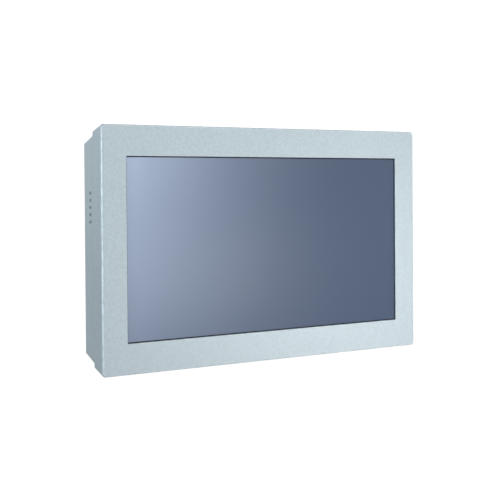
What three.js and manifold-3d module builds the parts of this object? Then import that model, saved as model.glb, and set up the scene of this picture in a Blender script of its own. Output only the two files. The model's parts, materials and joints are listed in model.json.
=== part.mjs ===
// Wall or arm mounted industrial touch panel: a folded sheet bezel with a recessed display, a stepped rear
// housing closed by a screwed cover, five side keys, and a connector bay in the lower back.
// Millimetres. +X is right as seen from the front, +Y points out of the back, +Z is up. The origin is the
// centre of the raised pad on the rear cover, where the mounting arm bears.
import * as THREE from 'three';
import { mergeVertices } from 'three/addons/utils/BufferGeometryUtils.js';
import Module from 'manifold-3d';

const wasm = await Module();
wasm.setup();

// Clearances.
const SEAT = 0.1; // between two faces that rest on each other
const FIT = 0.3; // around a piece that sits inside another
const PAST = 1; // how far a cutting solid runs past what it cuts

// Body: window, front plate, depths and leans.
const OPENING_WIDTH = 480; // window in the front plate
const OPENING_HEIGHT = 270;
const SIDE_MARGIN = 38.5; // front plate beside the window
const END_MARGIN = 45.7; // front plate above and below the window, to where its fold would be sharp
const BODY_DEPTH = 72; // front face to the housing's back
const BEZEL_DEPTH = 34;
const BEZEL_LEAN = 7.5; // how far the bezel's top and bottom lean in by their rear edge
const SHOULDER = 9.1; // step from the bezel down to the housing
const HOUSING_LEAN = 10.7; // how far the housing's top and bottom lean in by the back
const SHEET = 2;
const BEND_RADIUS = 3; // outside of a fold
const CORNER_RADIUS = 5; // front plate's corners
const EDGE_BREAK = 0.5; // bevel round the window
const WINDOW_CORNER = 0.8;
const SPIGOT_LENGTH = 10; // housing wall that reaches into the bezel
const ARC_STEPS = 5; // flats along one rounded corner
const ROUND_STEPS = 16; // flats round a small turned part
const SLOT_STEPS = 6; // flats along a slot's round end

// Glass and display.
const GASKET_THICKNESS = 0.8;
const GASKET_REVEAL_X = 1.1; // gasket that shows inside the window
const GASKET_REVEAL_Z = 1.7;
const GLASS_LAP = 6; // glass behind the front plate
const GLASS_THICKNESS = 3;
const GLASS_CORNER = 2;
const SCREEN_MARGIN_X = 1.7; // window edge to the lit picture
const SCREEN_MARGIN_Z = 0.95;
const LCD_BORDER_X = 9.5; // picture edge to the display module's side
const LCD_BORDER_Z = 12;
const LCD_DEPTH = 10.6;
const LCD_SHEET = 1; // metal of the display module
const LCD_LIP_COVER = 1; // front frame's lip stops this far from the picture
const CELL_THICKNESS = 1.8;
const DIFFUSER_THICKNESS = 1.2;
const GUIDE_THICKNESS = 3;
const LED_STRIP_HEIGHT = 3;
const BRACKET_SHEET = 2;
const BRACKET_FOOT = 15;
const BRACKET_LENGTH = 250;
const CHASSIS_SHEET = 1.6;
const CHASSIS_RIM = 10; // folded edge that the housing is riveted to
const CHASSIS_END_GAP = 3; // chassis to the housing's top and bottom walls

// Rear cover.
const COVER_SHEET = 2;
const COVER_SEAL = 0.8;
const COVER_SEAL_WIDTH = 6;
const COVER_SIDE_INSET = 38.5; // cover edge to the housing's side
const COVER_TOP_INSET = 19.4;
const COVER_ABOVE_BAY = 14;
const COVER_LAP = 20; // cover on the housing's back
const COVER_CORNER = 8;
const SCREW_INSET = 9; // cover screws from the cover's edge
const SCREW_SHANK = 2; // radius
const SCREW_LENGTH = 8;
const SCREW_HEAD = 3.9; // radius
const SCREW_HEAD_HEIGHT = 2.3;
const HEX_ACROSS = 2.5; // socket across its flats
const HEX_DEPTH = 1.4;
const MOUNT_PITCH = 100;
const MOUNT_HOLE = 2.5; // radius
const MOUNT_THREAD = 2.1; // radius
const PAD_MARGIN = 15; // raised pad round the mounting holes
const PAD_RISE = 3;
const PAD_CORNER = 9;
const MOUNT_PLATE_THICKNESS = 3;
const LABEL_WIDTH = 64;
const LABEL_HEIGHT = 34;
const LABEL_THICKNESS = 0.4;
const LABEL_CORNER = 2;
const LABEL_FROM_EDGE = 30;

// Breather plug in the housing's back.
const VENT_THREAD = 5.8; // radius
const VENT_HEAD = 8.5; // radius
const VENT_HEAD_HEIGHT = 4.6;
const VENT_COLLAR_HEIGHT = 2.8;
const VENT_LENGTH = 8;
const VENT_FROM_SIDE = 63.5;

// Connector bay.
const BAY_WIDTH = 330;
const BAY_RISE = 25.4; // from the housing's back bottom edge up to the bay's roof
const BAY_SETBACK = 4; // from the bezel's rear plane to the bay's front wall
const BAY_WINDOW_WIDTH = 284;
const BAY_WINDOW_FRONT = 3; // roof left in front of its window
const BAY_WINDOW_BACK = 6; // and behind it
const IO_SHEET = 1.5;
const IO_LAP_X = 8;
const IO_LAP_Y = 2;

// Boards and what stands on them.
const BOARD_THICKNESS = 1.6;
const BOARD_WIDTH = 170;
const BOARD_HEIGHT = 170;
const BOSS_RADIUS = 3.5;
const BOSS_INSET = 6;
const CHIP_SIZE = 28;
const CHIP_THICKNESS = 1.4;
const CHIP_Z = 8;
const HEAT_BLOCK_SIZE = 52;
const MEMORY_SIZE = [67.6, 4, 30];
const MEMORY_PLACE = [-44, -52];
const DRIVE_SIZE = [69.9, 7, 100];
const POWER_BOARD_SIZE = [90, 130];
const TOUCH_BOARD_SIZE = [58, 34];
const DRIVER_BOARD_SIZE = [76, 30];
const SMALL_BOARD_LIFT = 5; // small boards above the chassis
const FROM_CHASSIS_SIDE = 30; // side boards from the chassis' edge

// Blocks on the boards' backs: width, depth, height, and x and z from the board's middle.
const COILS = [[8, 4, 8, 40, 39], [8, 4, 8, 40, 50], [8, 4, 8, 40, 61]];
const BACKUP_CELL = [12, 6, 30, -70, 50];
const PIN_HEADER = [46, 3, 6, -52, 76];
const TRANSFORMER = [34, 18, 30, -16, 10];
const CAPACITORS = [[10, 16, 10, 26, -20], [10, 16, 10, 26, 0], [10, 16, 10, 26, 20]];
const POWER_PLUG = [24, 12, 10, 0, -48];
const TOUCH_BLOCKS = [[12, 1.2, 12, 0, 0], [20, 3, 5, 14, -12]];
const DRIVER_BLOCKS = [[14, 6, 14, -18, 0], [9, 1.5, 9, 6, 0], [16, 4, 6, 26, 8]];

// Side keys.
const KEY_COUNT = 5;
const KEY_PITCH = 10.5;
const KEY_MIDDLE_Z = 61;
const KEY_LENGTH = 7.4; // front to back
const KEY_HEIGHT = 3.8;
const KEY_RECESS = 0.4; // key face below the wall
const KEY_COLLAR = 0.9; // collar past the key all round
const KEY_COLLAR_THICKNESS = 1;
const KEY_STEM = 1.5; // radius
const KEY_STEM_LENGTH = 2.6;
const KEY_TRAVEL = 0.8;
const KEY_GUIDE_THICKNESS = 1;
const KEY_GUIDE_WIDTH = 16;
const KEY_END_MARGIN = 9; // guide and board past the end keys
const SWITCH_SIZE = 6;
const SWITCH_HEIGHT = 3.5;
const SWITCH_BUTTON = 1.7; // radius
const SWITCH_BUTTON_HEIGHT = 0.9;

// Places that follow from the sizes.
const WIDTH = OPENING_WIDTH + 2 * SIDE_MARGIN;
const HEIGHT = OPENING_HEIGHT + 2 * END_MARGIN;
const PAD_SIZE = MOUNT_PITCH + 2 * PAD_MARGIN;
const COVER_Y = -PAD_RISE; // the cover's outer face round the pad
const HOUSING_BACK_Y = COVER_Y - COVER_SHEET - SEAT - COVER_SEAL - SEAT;
const FRONT_Y = HOUSING_BACK_Y - BODY_DEPTH;
const BEZEL_REAR_Y = FRONT_Y + BEZEL_DEPTH;
const HOUSING_FRONT_Y = BEZEL_REAR_Y + FIT;
const SPIGOT_Y = BEZEL_REAR_Y - SPIGOT_LENGTH;
const SPIGOT_HALF = WIDTH / 2 - SHEET - FIT;
const HOUSING_HALF = HEIGHT / 2 - BEZEL_LEAN - SHOULDER;
const HOUSING_BACK_HALF = HOUSING_HALF - HOUSING_LEAN;
const GASKET_Y = FRONT_Y + SHEET + SEAT;
const GLASS_Y = GASKET_Y + GASKET_THICKNESS + SEAT;
const GLASS_WIDTH = OPENING_WIDTH + 2 * GLASS_LAP;
const GLASS_HEIGHT = OPENING_HEIGHT + 2 * GLASS_LAP;
const SCREEN_WIDTH = OPENING_WIDTH - 2 * SCREEN_MARGIN_X;
const SCREEN_HEIGHT = OPENING_HEIGHT - 2 * SCREEN_MARGIN_Z;
const LCD_TAPE_Y = GLASS_Y + GLASS_THICKNESS + SEAT;
const LCD_Y = LCD_TAPE_Y + GASKET_THICKNESS + SEAT;
const LCD_WIDTH = SCREEN_WIDTH + 2 * LCD_BORDER_X;
const LCD_HEIGHT = SCREEN_HEIGHT + 2 * LCD_BORDER_Z;
const LCD_INSIDE_WIDTH = LCD_WIDTH - 2 * (LCD_SHEET + FIT);
const LCD_INSIDE_HEIGHT = LCD_HEIGHT - 2 * (LCD_SHEET + FIT);
const CELL_Y = LCD_Y + LCD_SHEET + SEAT;
const DIFFUSER_Y = CELL_Y + CELL_THICKNESS + SEAT;
const GUIDE_Y = DIFFUSER_Y + DIFFUSER_THICKNESS + SEAT;
const LCD_BACK_Y = LCD_Y + LCD_DEPTH;
const CHASSIS_Y = LCD_BACK_Y + SEAT + BRACKET_SHEET + SEAT;
const CHASSIS_BACK_Y = CHASSIS_Y + CHASSIS_SHEET;
const CHASSIS_HALF_WIDTH = SPIGOT_HALF - SHEET - FIT;
const CHASSIS_HALF_HEIGHT = HOUSING_HALF - SHEET - CHASSIS_END_GAP;
const BAY_FRONT_Y = BEZEL_REAR_Y + BAY_SETBACK;
const BAY_ROOF_Z = BAY_RISE - HOUSING_BACK_HALF;
const BAY_WINDOW_Y = [BAY_FRONT_Y + BAY_WINDOW_FRONT, HOUSING_BACK_Y - BAY_WINDOW_BACK];
const IO_FACE_Z = BAY_ROOF_Z + SHEET + SEAT;
const IO_TOP_Z = IO_FACE_Z + IO_SHEET;
const PANEL_PORT_Y = (BAY_WINDOW_Y[0] + BAY_WINDOW_Y[1]) / 2;
const BOARD_BACK_Y = BAY_WINDOW_Y[0] + FIT;
const BOARD_FRONT_Y = BOARD_BACK_Y - BOARD_THICKNESS;
const BOARD_BOTTOM_Z = IO_TOP_Z + FIT;
const BOARD_PORT_Y = BOARD_BACK_Y + SEAT;
const COVER_TOP_Z = HOUSING_BACK_HALF - COVER_TOP_INSET;
const COVER_BOTTOM_Z = BAY_ROOF_Z + COVER_ABOVE_BAY;
const COVER_WIDTH = WIDTH - 2 * COVER_SIDE_INSET;
const COVER_MIDDLE_Z = (COVER_TOP_Z + COVER_BOTTOM_Z) / 2;
const MOUNT_PLATE_Y = -COVER_SHEET - SEAT;
const KEY_Y = HOUSING_FRONT_Y + SHEET + FIT + KEY_GUIDE_WIDTH / 2;
const KEY_GUIDE_X = SHEET + FIT + KEY_COLLAR_THICKNESS + KEY_TRAVEL + FIT;
const KEY_STEM_END = SHEET + FIT + KEY_COLLAR_THICKNESS + KEY_STEM_LENGTH;
const SWITCH_X = KEY_STEM_END + KEY_TRAVEL + FIT;
const OSD_BOARD_X = SWITCH_X + SWITCH_BUTTON_HEIGHT + SWITCH_HEIGHT + SEAT;

// ---------------------------------------------------------------------------------------------------------
// Solids: three.js makes each shape, and manifold only joins and cuts them.

function toSolid(geometry) {
  geometry.deleteAttribute('normal');
  geometry.deleteAttribute('uv');
  const merged = mergeVertices(geometry, 1e-4);
  const mesh = new wasm.Mesh({
    numProp: 3,
    vertProperties: merged.attributes.position.array,
    triVerts: new Uint32Array(merged.index.array),
  });
  return new wasm.Manifold(mesh);
}

function toGeometry(solid) {
  const mesh = solid.getMesh();
  const geometry = new THREE.BufferGeometry();
  geometry.setAttribute('position', new THREE.BufferAttribute(mesh.vertProperties, mesh.numProp));
  geometry.setIndex(new THREE.BufferAttribute(mesh.triVerts, 1));
  return geometry;
}

const joined = (first, ...others) => others.reduce((sum, solid) => sum.add(solid), first);
const cutBy = (first, ...others) => others.reduce((rest, solid) => rest.subtract(solid), first);
const common = (first, ...others) => others.reduce((rest, solid) => rest.intersect(solid), first);

// A closed outline through corners [u, v, radius], where a corner with a radius is rounded by that much.
function outline(corners) {
  const at = corners.map(([u, v]) => new THREE.Vector2(u, v));
  const points = [];
  corners.forEach(([, , radius = 0], i) => {
    const here = at[i];
    if (!radius) {
      points.push(here);
      return;
    }
    const back = at.at(i - 1).clone().sub(here).normalize();
    const ahead = at[(i + 1) % at.length].clone().sub(here).normalize();
    const half = Math.acos(THREE.MathUtils.clamp(back.dot(ahead), -1, 1)) / 2;
    const centre = back.clone().add(ahead).normalize().multiplyScalar(radius / Math.sin(half)).add(here);
    const start = back.clone().multiplyScalar(radius / Math.tan(half)).add(here).sub(centre);
    const turn = Math.sign(ahead.cross(back)) * (Math.PI - 2 * half);
    for (let step = 0; step <= ARC_STEPS; step += 1) {
      const arm = start.clone().rotateAround(new THREE.Vector2(), (turn * step) / ARC_STEPS);
      points.push(arm.add(centre));
    }
  });
  return new THREE.Shape(points);
}

// A rectangle between two corners, with its own corners rounded by radius.
function rectangle(u0, u1, v0, v1, radius = 0) {
  return outline([[u0, v0, radius], [u1, v0, radius], [u1, v1, radius], [u0, v1, radius]]);
}

const centred = (width, height, radius = 0, v = 0) =>
  rectangle(-width / 2, width / 2, v - height / 2, v + height / 2, radius);

// A slot outline with round ends, longer along u.
function obround(length, height) {
  const reach = (length - height) / 2;
  const shape = new THREE.Shape();
  shape.absarc(reach, 0, height / 2, -Math.PI / 2, Math.PI / 2);
  shape.absarc(-reach, 0, height / 2, Math.PI / 2, (3 * Math.PI) / 2);
  return shape;
}

function extrusion(shape, depth, settings = {}) {
  const flat = { depth, bevelEnabled: false, curveSegments: SLOT_STEPS, ...settings };
  return new THREE.ExtrudeGeometry(shape, flat);
}

// Prisms of an outline: (y, z) carried along X, (x, z) along Y, and (x, y) along Z.
function alongX(shape, x0, x1) {
  const turn = new THREE.Matrix4();
  turn.makeBasis(new THREE.Vector3(0, 1, 0), new THREE.Vector3(0, 0, 1), new THREE.Vector3(1, 0, 0));
  return toSolid(extrusion(shape, x1 - x0).applyMatrix4(turn).translate(x0, 0, 0));
}

function alongY(shape, y0, y1) {
  return toSolid(extrusion(shape, y1 - y0).rotateX(Math.PI / 2).translate(0, y1, 0));
}

function alongZ(shape, z0, z1) {
  return toSolid(extrusion(shape, z1 - z0).translate(0, 0, z0));
}

function box(x0, x1, y0, y1, z0, z1) {
  const shape = new THREE.BoxGeometry(x1 - x0, y1 - y0, z1 - z0);
  return toSolid(shape.translate((x0 + x1) / 2, (y0 + y1) / 2, (z0 + z1) / 2));
}

// A frame between an outer and an inner outline, both in (x, z).
const frame = (outer, inner, y0, y1) => cutBy(alongY(outer, y0, y1), alongY(inner, y0 - PAST, y1 + PAST));

// A round or six-sided bar along Y or Z, centred at the two other coordinates.
function barY(radius, y0, y1, x, z, sides = ROUND_STEPS) {
  return toSolid(new THREE.CylinderGeometry(radius, radius, y1 - y0, sides).translate(x, (y0 + y1) / 2, z));
}

function barZ(radius, z0, z1, x, y, sides = ROUND_STEPS) {
  const bar = new THREE.CylinderGeometry(radius, radius, z1 - z0, sides).rotateX(Math.PI / 2);
  return toSolid(bar.translate(x, y, (z0 + z1) / 2));
}

// A solid of revolution about Y through points [radius, y] that start and end on the axis.
function turned(profile) {
  const points = profile.map(([radius, y]) => new THREE.Vector2(radius, y));
  return toSolid(new THREE.LatheGeometry(points, ROUND_STEPS));
}

// ---------------------------------------------------------------------------------------------------------
// Bezel: a pan folded from one sheet, with the window in its face and lips that turn in behind.

// The pan's full shape, drawn inset from its outer faces and cut off at y = rear.
function bezelShape(inset, rear) {
  const half = { x: WIDTH / 2 - inset, z: HEIGHT / 2 - inset };
  const face = FRONT_Y + inset;
  const bend = BEND_RADIUS - inset;
  const side = outline([
    [face, -half.z, bend],
    [BEZEL_REAR_Y, BEZEL_LEAN - half.z],
    [BEZEL_REAR_Y, half.z - BEZEL_LEAN],
    [face, half.z, bend],
  ]);
  const plan = outline([[-half.x, face, bend], [half.x, face, bend], [half.x, rear], [-half.x, rear]]);
  return common(
    alongX(side, -WIDTH, WIDTH),
    alongZ(plan, -HEIGHT, HEIGHT),
    alongY(centred(2 * half.x, 2 * half.z, CORNER_RADIUS - inset), FRONT_Y - PAST, BEZEL_REAR_Y + PAST),
  );
}

// The window's cutter, which widens by the edge break where it leaves the front face.
function windowCutter() {
  const bevel = { bevelEnabled: true, bevelSegments: 1, bevelThickness: EDGE_BREAK, bevelSize: EDGE_BREAK };
  const shape = centred(OPENING_WIDTH, OPENING_HEIGHT, WINDOW_CORNER);
  const flare = extrusion(shape, PAST, bevel).rotateX(Math.PI / 2).translate(0, FRONT_Y, 0);
  return joined(toSolid(flare), alongY(shape, FRONT_Y - PAST, FRONT_Y + SHEET + PAST));
}

function frontBezel() {
  const inner = bezelShape(SHEET, BEZEL_REAR_Y - SHEET);
  const rearHalf = HOUSING_HALF + FIT;
  const rearHole = box(
    SHEET - WIDTH / 2, WIDTH / 2 - SHEET, BEZEL_REAR_Y - SHEET - PAST, BEZEL_REAR_Y + PAST, -rearHalf, rearHalf,
  );
  return cutBy(bezelShape(0, BEZEL_REAR_Y), inner, rearHole, windowCutter());
}

// ---------------------------------------------------------------------------------------------------------
// Rear housing: a deeper folded pan whose front edge steps in and reaches into the bezel.

function housingShape(inset) {
  const bend = BEND_RADIUS - inset;
  const front = inset ? SPIGOT_Y - PAST : SPIGOT_Y;
  const back = HOUSING_BACK_Y - inset;
  const step = HOUSING_FRONT_Y + inset;
  const half = { x: WIDTH / 2 - inset, spigot: SPIGOT_HALF - inset };
  const tall = HOUSING_HALF - inset;
  const low = HOUSING_BACK_HALF - inset;
  const side = outline([
    [front, -tall], [BEZEL_REAR_Y, -tall], [back, -low, bend],
    [back, low, bend], [BEZEL_REAR_Y, tall], [front, tall],
  ]);
  const plan = outline([
    [-half.spigot, front], [half.spigot, front], [half.spigot, step], [half.x, step],
    [half.x, back, bend], [-half.x, back, bend], [-half.x, step], [-half.spigot, step],
  ]);
  return common(alongX(side, -WIDTH, WIDTH), alongZ(plan, -HEIGHT, HEIGHT));
}

// The connector bay's block, grown by wall on every side that the housing closes.
function bayBlock(wall) {
  const half = BAY_WIDTH / 2 + wall;
  const back = wall ? HOUSING_BACK_Y : HOUSING_BACK_Y + PAST;
  return box(-half, half, BAY_FRONT_Y - wall, back, -HEIGHT, BAY_ROOF_Z + wall);
}

function coverScrewPlaces() {
  const column = COVER_WIDTH / 2 - SCREW_INSET;
  const rows = [COVER_TOP_Z - SCREW_INSET, COVER_BOTTOM_Z + SCREW_INSET];
  const ends = rows.flatMap((z) => [[-column, z], [0, z], [column, z]]);
  return [...ends, [-column, COVER_MIDDLE_Z], [column, COVER_MIDDLE_Z]];
}

const screwHoles = (y0, y1) => coverScrewPlaces().map(([x, z]) => barY(SCREW_SHANK + FIT, y0, y1, x, z));

const keyPlaces = () =>
  Array.from({ length: KEY_COUNT }, (_, i) => KEY_MIDDLE_Z + KEY_PITCH * ((KEY_COUNT - 1) / 2 - i));

function keyHole(z) {
  const hole = alongX(obround(KEY_LENGTH + 2 * FIT, KEY_HEIGHT + 2 * FIT), -PAST, SHEET + PAST);
  return hole.translate([-WIDTH / 2, KEY_Y, z]);
}

const ventPlace = () => [WIDTH / 2 - VENT_FROM_SIDE, (COVER_BOTTOM_Z - HOUSING_BACK_HALF) / 2];

function rearHousing() {
  const [outside, inside] = [housingShape(0), housingShape(SHEET)];
  const walls = joined(outside.subtract(inside), bayBlock(SHEET).intersect(outside));
  const hatch = rectangle(
    COVER_LAP - COVER_WIDTH / 2, COVER_WIDTH / 2 - COVER_LAP,
    COVER_BOTTOM_Z + COVER_LAP, COVER_TOP_Z - COVER_LAP, COVER_CORNER,
  );
  const behind = [HOUSING_BACK_Y - SHEET - PAST, HOUSING_BACK_Y + PAST];
  const roofWindow = box(
    -BAY_WINDOW_WIDTH / 2, BAY_WINDOW_WIDTH / 2, ...BAY_WINDOW_Y, BAY_ROOF_Z - PAST, IO_FACE_Z + PAST,
  );
  return cutBy(
    walls,
    bayBlock(0),
    alongY(hatch, ...behind),
    roofWindow,
    barY(VENT_THREAD + FIT, ...behind, ...ventPlace()),
    ...screwHoles(...behind),
    ...keyPlaces().map(keyHole),
  );
}

// ---------------------------------------------------------------------------------------------------------
// Rear cover, its seal and screws, the plate behind the mounting holes, the blank label and the breather.

const coverOutline = (inset, radius) => rectangle(
  inset - COVER_WIDTH / 2, COVER_WIDTH / 2 - inset, COVER_BOTTOM_Z + inset, COVER_TOP_Z - inset, radius,
);

function mountHoles(radius, y0, y1) {
  const half = MOUNT_PITCH / 2;
  const places = [[-half, -half], [half, -half], [-half, half], [half, half]];
  return places.map(([x, z]) => barY(radius, y0, y1, x, z));
}

const padOutline = (inset) => centred(PAD_SIZE - 2 * inset, PAD_SIZE - 2 * inset, PAD_CORNER - inset);

// A plate whose middle is pressed out into a hollow pad.
function rearCover() {
  const front = COVER_Y - COVER_SHEET;
  return cutBy(
    joined(alongY(coverOutline(0, COVER_CORNER), front, COVER_Y), alongY(padOutline(0), front + SEAT, 0)),
    alongY(padOutline(COVER_SHEET), front - PAST, -COVER_SHEET),
    ...mountHoles(MOUNT_HOLE, front - PAST, PAST),
    ...screwHoles(front - PAST, COVER_Y + PAST),
  );
}

function coverGasket() {
  const edge = COVER_LAP - FIT;
  const faces = [HOUSING_BACK_Y + SEAT, COVER_Y - COVER_SHEET - SEAT];
  return frame(coverOutline(edge - COVER_SEAL_WIDTH, COVER_CORNER), coverOutline(edge, COVER_CORNER), ...faces);
}

// The threaded plate inside the pad.
function mountPlate() {
  const faces = [MOUNT_PLATE_Y - MOUNT_PLATE_THICKNESS, MOUNT_PLATE_Y];
  const plate = alongY(padOutline(COVER_SHEET + FIT), ...faces);
  return cutBy(plate, ...mountHoles(MOUNT_THREAD, faces[0] - PAST, PAST));
}

// A button head screw with a six-sided socket, its head's underside at y = 0.
function coverScrew() {
  const crown = SCREW_HEAD_HEIGHT / 2;
  const body = turned([
    [0, -SCREW_LENGTH], [SCREW_SHANK, -SCREW_LENGTH], [SCREW_SHANK, SEAT], [SCREW_HEAD, SEAT],
    [SCREW_HEAD, crown], [SCREW_HEAD - crown, SCREW_HEAD_HEIGHT], [0, SCREW_HEAD_HEIGHT],
  ]);
  const hex = HEX_ACROSS / Math.sqrt(3);
  return cutBy(body, barY(hex, SCREW_HEAD_HEIGHT - HEX_DEPTH, SCREW_HEAD_HEIGHT + PAST, 0, 0, 6));
}

function ratingLabel() {
  const right = COVER_WIDTH / 2 - LABEL_FROM_EDGE;
  const top = COVER_TOP_Z - LABEL_FROM_EDGE;
  const plate = rectangle(right - LABEL_WIDTH, right, top - LABEL_HEIGHT, top, LABEL_CORNER);
  return alongY(plate, COVER_Y + SEAT, COVER_Y + SEAT + LABEL_THICKNESS);
}

// A hexagon plug with a round cap, its head's underside at y = 0.
function breatherVent() {
  return joined(
    barY(VENT_THREAD, -VENT_LENGTH, SEAT + PAST, 0, 0),
    barY(VENT_HEAD, SEAT, VENT_COLLAR_HEIGHT, 0, 0, 6),
    turned([[0, SEAT], [VENT_THREAD, SEAT], [VENT_THREAD, VENT_HEAD_HEIGHT], [0, VENT_HEAD_HEIGHT]]),
  );
}

// ---------------------------------------------------------------------------------------------------------
// Glass and display module, stacked behind the window.

const glassOutline = () => centred(GLASS_WIDTH, GLASS_HEIGHT, GLASS_CORNER);
const slab = (width, height, y, thickness) => alongY(centred(width, height), y, y + thickness);

function glassGasket() {
  const [width, height] = [OPENING_WIDTH - 2 * GASKET_REVEAL_X, OPENING_HEIGHT - 2 * GASKET_REVEAL_Z];
  const shown = centred(width, height, WINDOW_CORNER);
  return frame(glassOutline(), shown, GASKET_Y, GASKET_Y + GASKET_THICKNESS);
}

const touchGlass = () => alongY(glassOutline(), GLASS_Y, GLASS_Y + GLASS_THICKNESS);

const lcdWindow = () => centred(SCREEN_WIDTH + 2 * LCD_LIP_COVER, SCREEN_HEIGHT + 2 * LCD_LIP_COVER);

const lcdTape = () => frame(glassOutline(), lcdWindow(), LCD_TAPE_Y, LCD_TAPE_Y + GASKET_THICKNESS);

function lcdFrontFrame() {
  const inside = centred(LCD_WIDTH - 2 * LCD_SHEET, LCD_HEIGHT - 2 * LCD_SHEET);
  return cutBy(
    slab(LCD_WIDTH, LCD_HEIGHT, LCD_Y, LCD_DEPTH),
    alongY(inside, LCD_Y + LCD_SHEET, LCD_BACK_Y + PAST),
    alongY(lcdWindow(), LCD_Y - PAST, LCD_BACK_Y + PAST),
  );
}

const lcdCell = () => slab(LCD_INSIDE_WIDTH, LCD_INSIDE_HEIGHT, CELL_Y, CELL_THICKNESS);
const diffuser = () => slab(LCD_INSIDE_WIDTH, LCD_INSIDE_HEIGHT, DIFFUSER_Y, DIFFUSER_THICKNESS);

// The light guide leaves room below it for the lamps that shine up into its edge.
const trayInside = () => [LCD_INSIDE_WIDTH - 2 * (LCD_SHEET + FIT), LCD_INSIDE_HEIGHT - 2 * (LCD_SHEET + FIT)];

function lightGuide() {
  const [width, height] = trayInside();
  const bottom = LED_STRIP_HEIGHT + FIT - height / 2;
  return box(-width / 2, width / 2, GUIDE_Y, GUIDE_Y + GUIDE_THICKNESS, bottom, height / 2);
}

function ledStrip() {
  const [width, height] = trayInside();
  const bottom = -height / 2;
  return box(-width / 2, width / 2, GUIDE_Y, GUIDE_Y + GUIDE_THICKNESS, bottom, bottom + LED_STRIP_HEIGHT);
}

function lcdRearTray() {
  const [width, height] = trayInside();
  const floor = LCD_BACK_Y - LCD_SHEET;
  const pocket = centred(width + 2 * FIT, height + 2 * FIT);
  return cutBy(
    slab(LCD_INSIDE_WIDTH, LCD_INSIDE_HEIGHT, GUIDE_Y, LCD_BACK_Y - GUIDE_Y),
    alongY(pocket, GUIDE_Y - PAST, floor),
  );
}

// A Z-section bar: its front foot is on the bezel's face, and its rear foot holds the display's back.
function lcdBracket(side) {
  const web = LCD_WIDTH / 2 + FIT;
  const [front, back] = [FRONT_Y + SHEET + SEAT, CHASSIS_Y - SEAT];
  const section = new THREE.Shape([
    [web - BRACKET_FOOT, back], [web - BRACKET_FOOT, back - BRACKET_SHEET], [web, back - BRACKET_SHEET],
    [web, front], [web + BRACKET_FOOT, front], [web + BRACKET_FOOT, front + BRACKET_SHEET],
    [web + BRACKET_SHEET, front + BRACKET_SHEET], [web + BRACKET_SHEET, back],
  ].map(([x, y]) => new THREE.Vector2(side * x, y)));
  return alongZ(section, -BRACKET_LENGTH / 2, BRACKET_LENGTH / 2);
}

// ---------------------------------------------------------------------------------------------------------
// Chassis and boards. A board is given by its size and the middle of its back face.

const mainBoardMiddle = () => BOARD_BOTTOM_Z + BOARD_HEIGHT / 2;
const sideX = (width) => CHASSIS_HALF_WIDTH - FROM_CHASSIS_SIDE - width / 2;
const lowZ = (height) => FROM_CHASSIS_SIDE + height / 2 - CHASSIS_HALF_HEIGHT;

const boards = () => ({
  main: { size: [BOARD_WIDTH, BOARD_HEIGHT], middle: [0, mainBoardMiddle()], front: BOARD_FRONT_Y },
  power: { size: POWER_BOARD_SIZE, middle: [sideX(POWER_BOARD_SIZE[0]), 0] },
  touch: { size: TOUCH_BOARD_SIZE, middle: [0, -lowZ(TOUCH_BOARD_SIZE[1])] },
  driver: { size: DRIVER_BOARD_SIZE, middle: [-sideX(DRIVER_BOARD_SIZE[0]), lowZ(DRIVER_BOARD_SIZE[1])] },
});

function boardFront({ front = CHASSIS_BACK_Y + SMALL_BOARD_LIFT }) {
  return front;
}

function bosses(board) {
  const [x, z] = board.middle;
  const [reachX, reachZ] = board.size.map((size) => size / 2 - BOSS_INSET);
  const corners = [[-reachX, -reachZ], [reachX, -reachZ], [-reachX, reachZ], [reachX, reachZ]];
  const root = CHASSIS_BACK_Y - CHASSIS_SHEET / 2;
  return corners.map(([dx, dz]) => barY(BOSS_RADIUS, root, boardFront(board) - SEAT, x + dx, z + dz, 6));
}

// A plate with both side edges folded back, and a six-sided standoff under each corner of each board.
function chassisPlate() {
  const [outer, inner] = [CHASSIS_HALF_WIDTH, CHASSIS_HALF_WIDTH - CHASSIS_SHEET];
  const rim = CHASSIS_BACK_Y + CHASSIS_RIM;
  const section = outline([
    [-outer, CHASSIS_Y], [outer, CHASSIS_Y], [outer, rim], [inner, rim],
    [inner, CHASSIS_BACK_Y], [-inner, CHASSIS_BACK_Y], [-inner, rim], [-outer, rim],
  ]);
  const plate = alongZ(section, -CHASSIS_HALF_HEIGHT, CHASSIS_HALF_HEIGHT);
  return joined(plate, ...Object.values(boards()).flatMap(bosses));
}

// A bare board with blocks on its back: each is [width, depth, height, x, z] from the board's middle.
function populated(board, blocks) {
  const front = boardFront(board);
  const back = front + BOARD_THICKNESS;
  const [x, z] = board.middle;
  const [halfX, halfZ] = board.size.map((size) => size / 2);
  const parts = blocks.map(([width, depth, height, dx, dz]) => box(
    x + dx - width / 2, x + dx + width / 2, back - BOARD_THICKNESS / 2, back + depth,
    z + dz - height / 2, z + dz + height / 2,
  ));
  return joined(box(x - halfX, x + halfX, front, back, z - halfZ, z + halfZ), ...parts);
}

function mainBoard() {
  const chip = [CHIP_SIZE, CHIP_THICKNESS, CHIP_SIZE, 0, CHIP_Z - mainBoardMiddle()];
  return populated(boards().main, [chip, ...COILS, BACKUP_CELL, PIN_HEADER]);
}

const powerBoard = () => populated(boards().power, [TRANSFORMER, ...CAPACITORS, POWER_PLUG]);
const touchBoard = () => populated(boards().touch, TOUCH_BLOCKS);
const driverBoard = () => populated(boards().driver, DRIVER_BLOCKS);

function heatBlock() {
  const half = HEAT_BLOCK_SIZE / 2;
  const front = BOARD_BACK_Y + CHIP_THICKNESS + SEAT;
  const back = MOUNT_PLATE_Y - MOUNT_PLATE_THICKNESS - SEAT;
  return box(-half, half, front, back, CHIP_Z - half, CHIP_Z + half);
}

function memoryModule() {
  const [width, depth, height] = MEMORY_SIZE;
  const [x, z] = MEMORY_PLACE;
  return box(x - width / 2, x + width / 2, BOARD_PORT_Y, BOARD_PORT_Y + depth, z - height / 2, z + height / 2);
}

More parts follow.
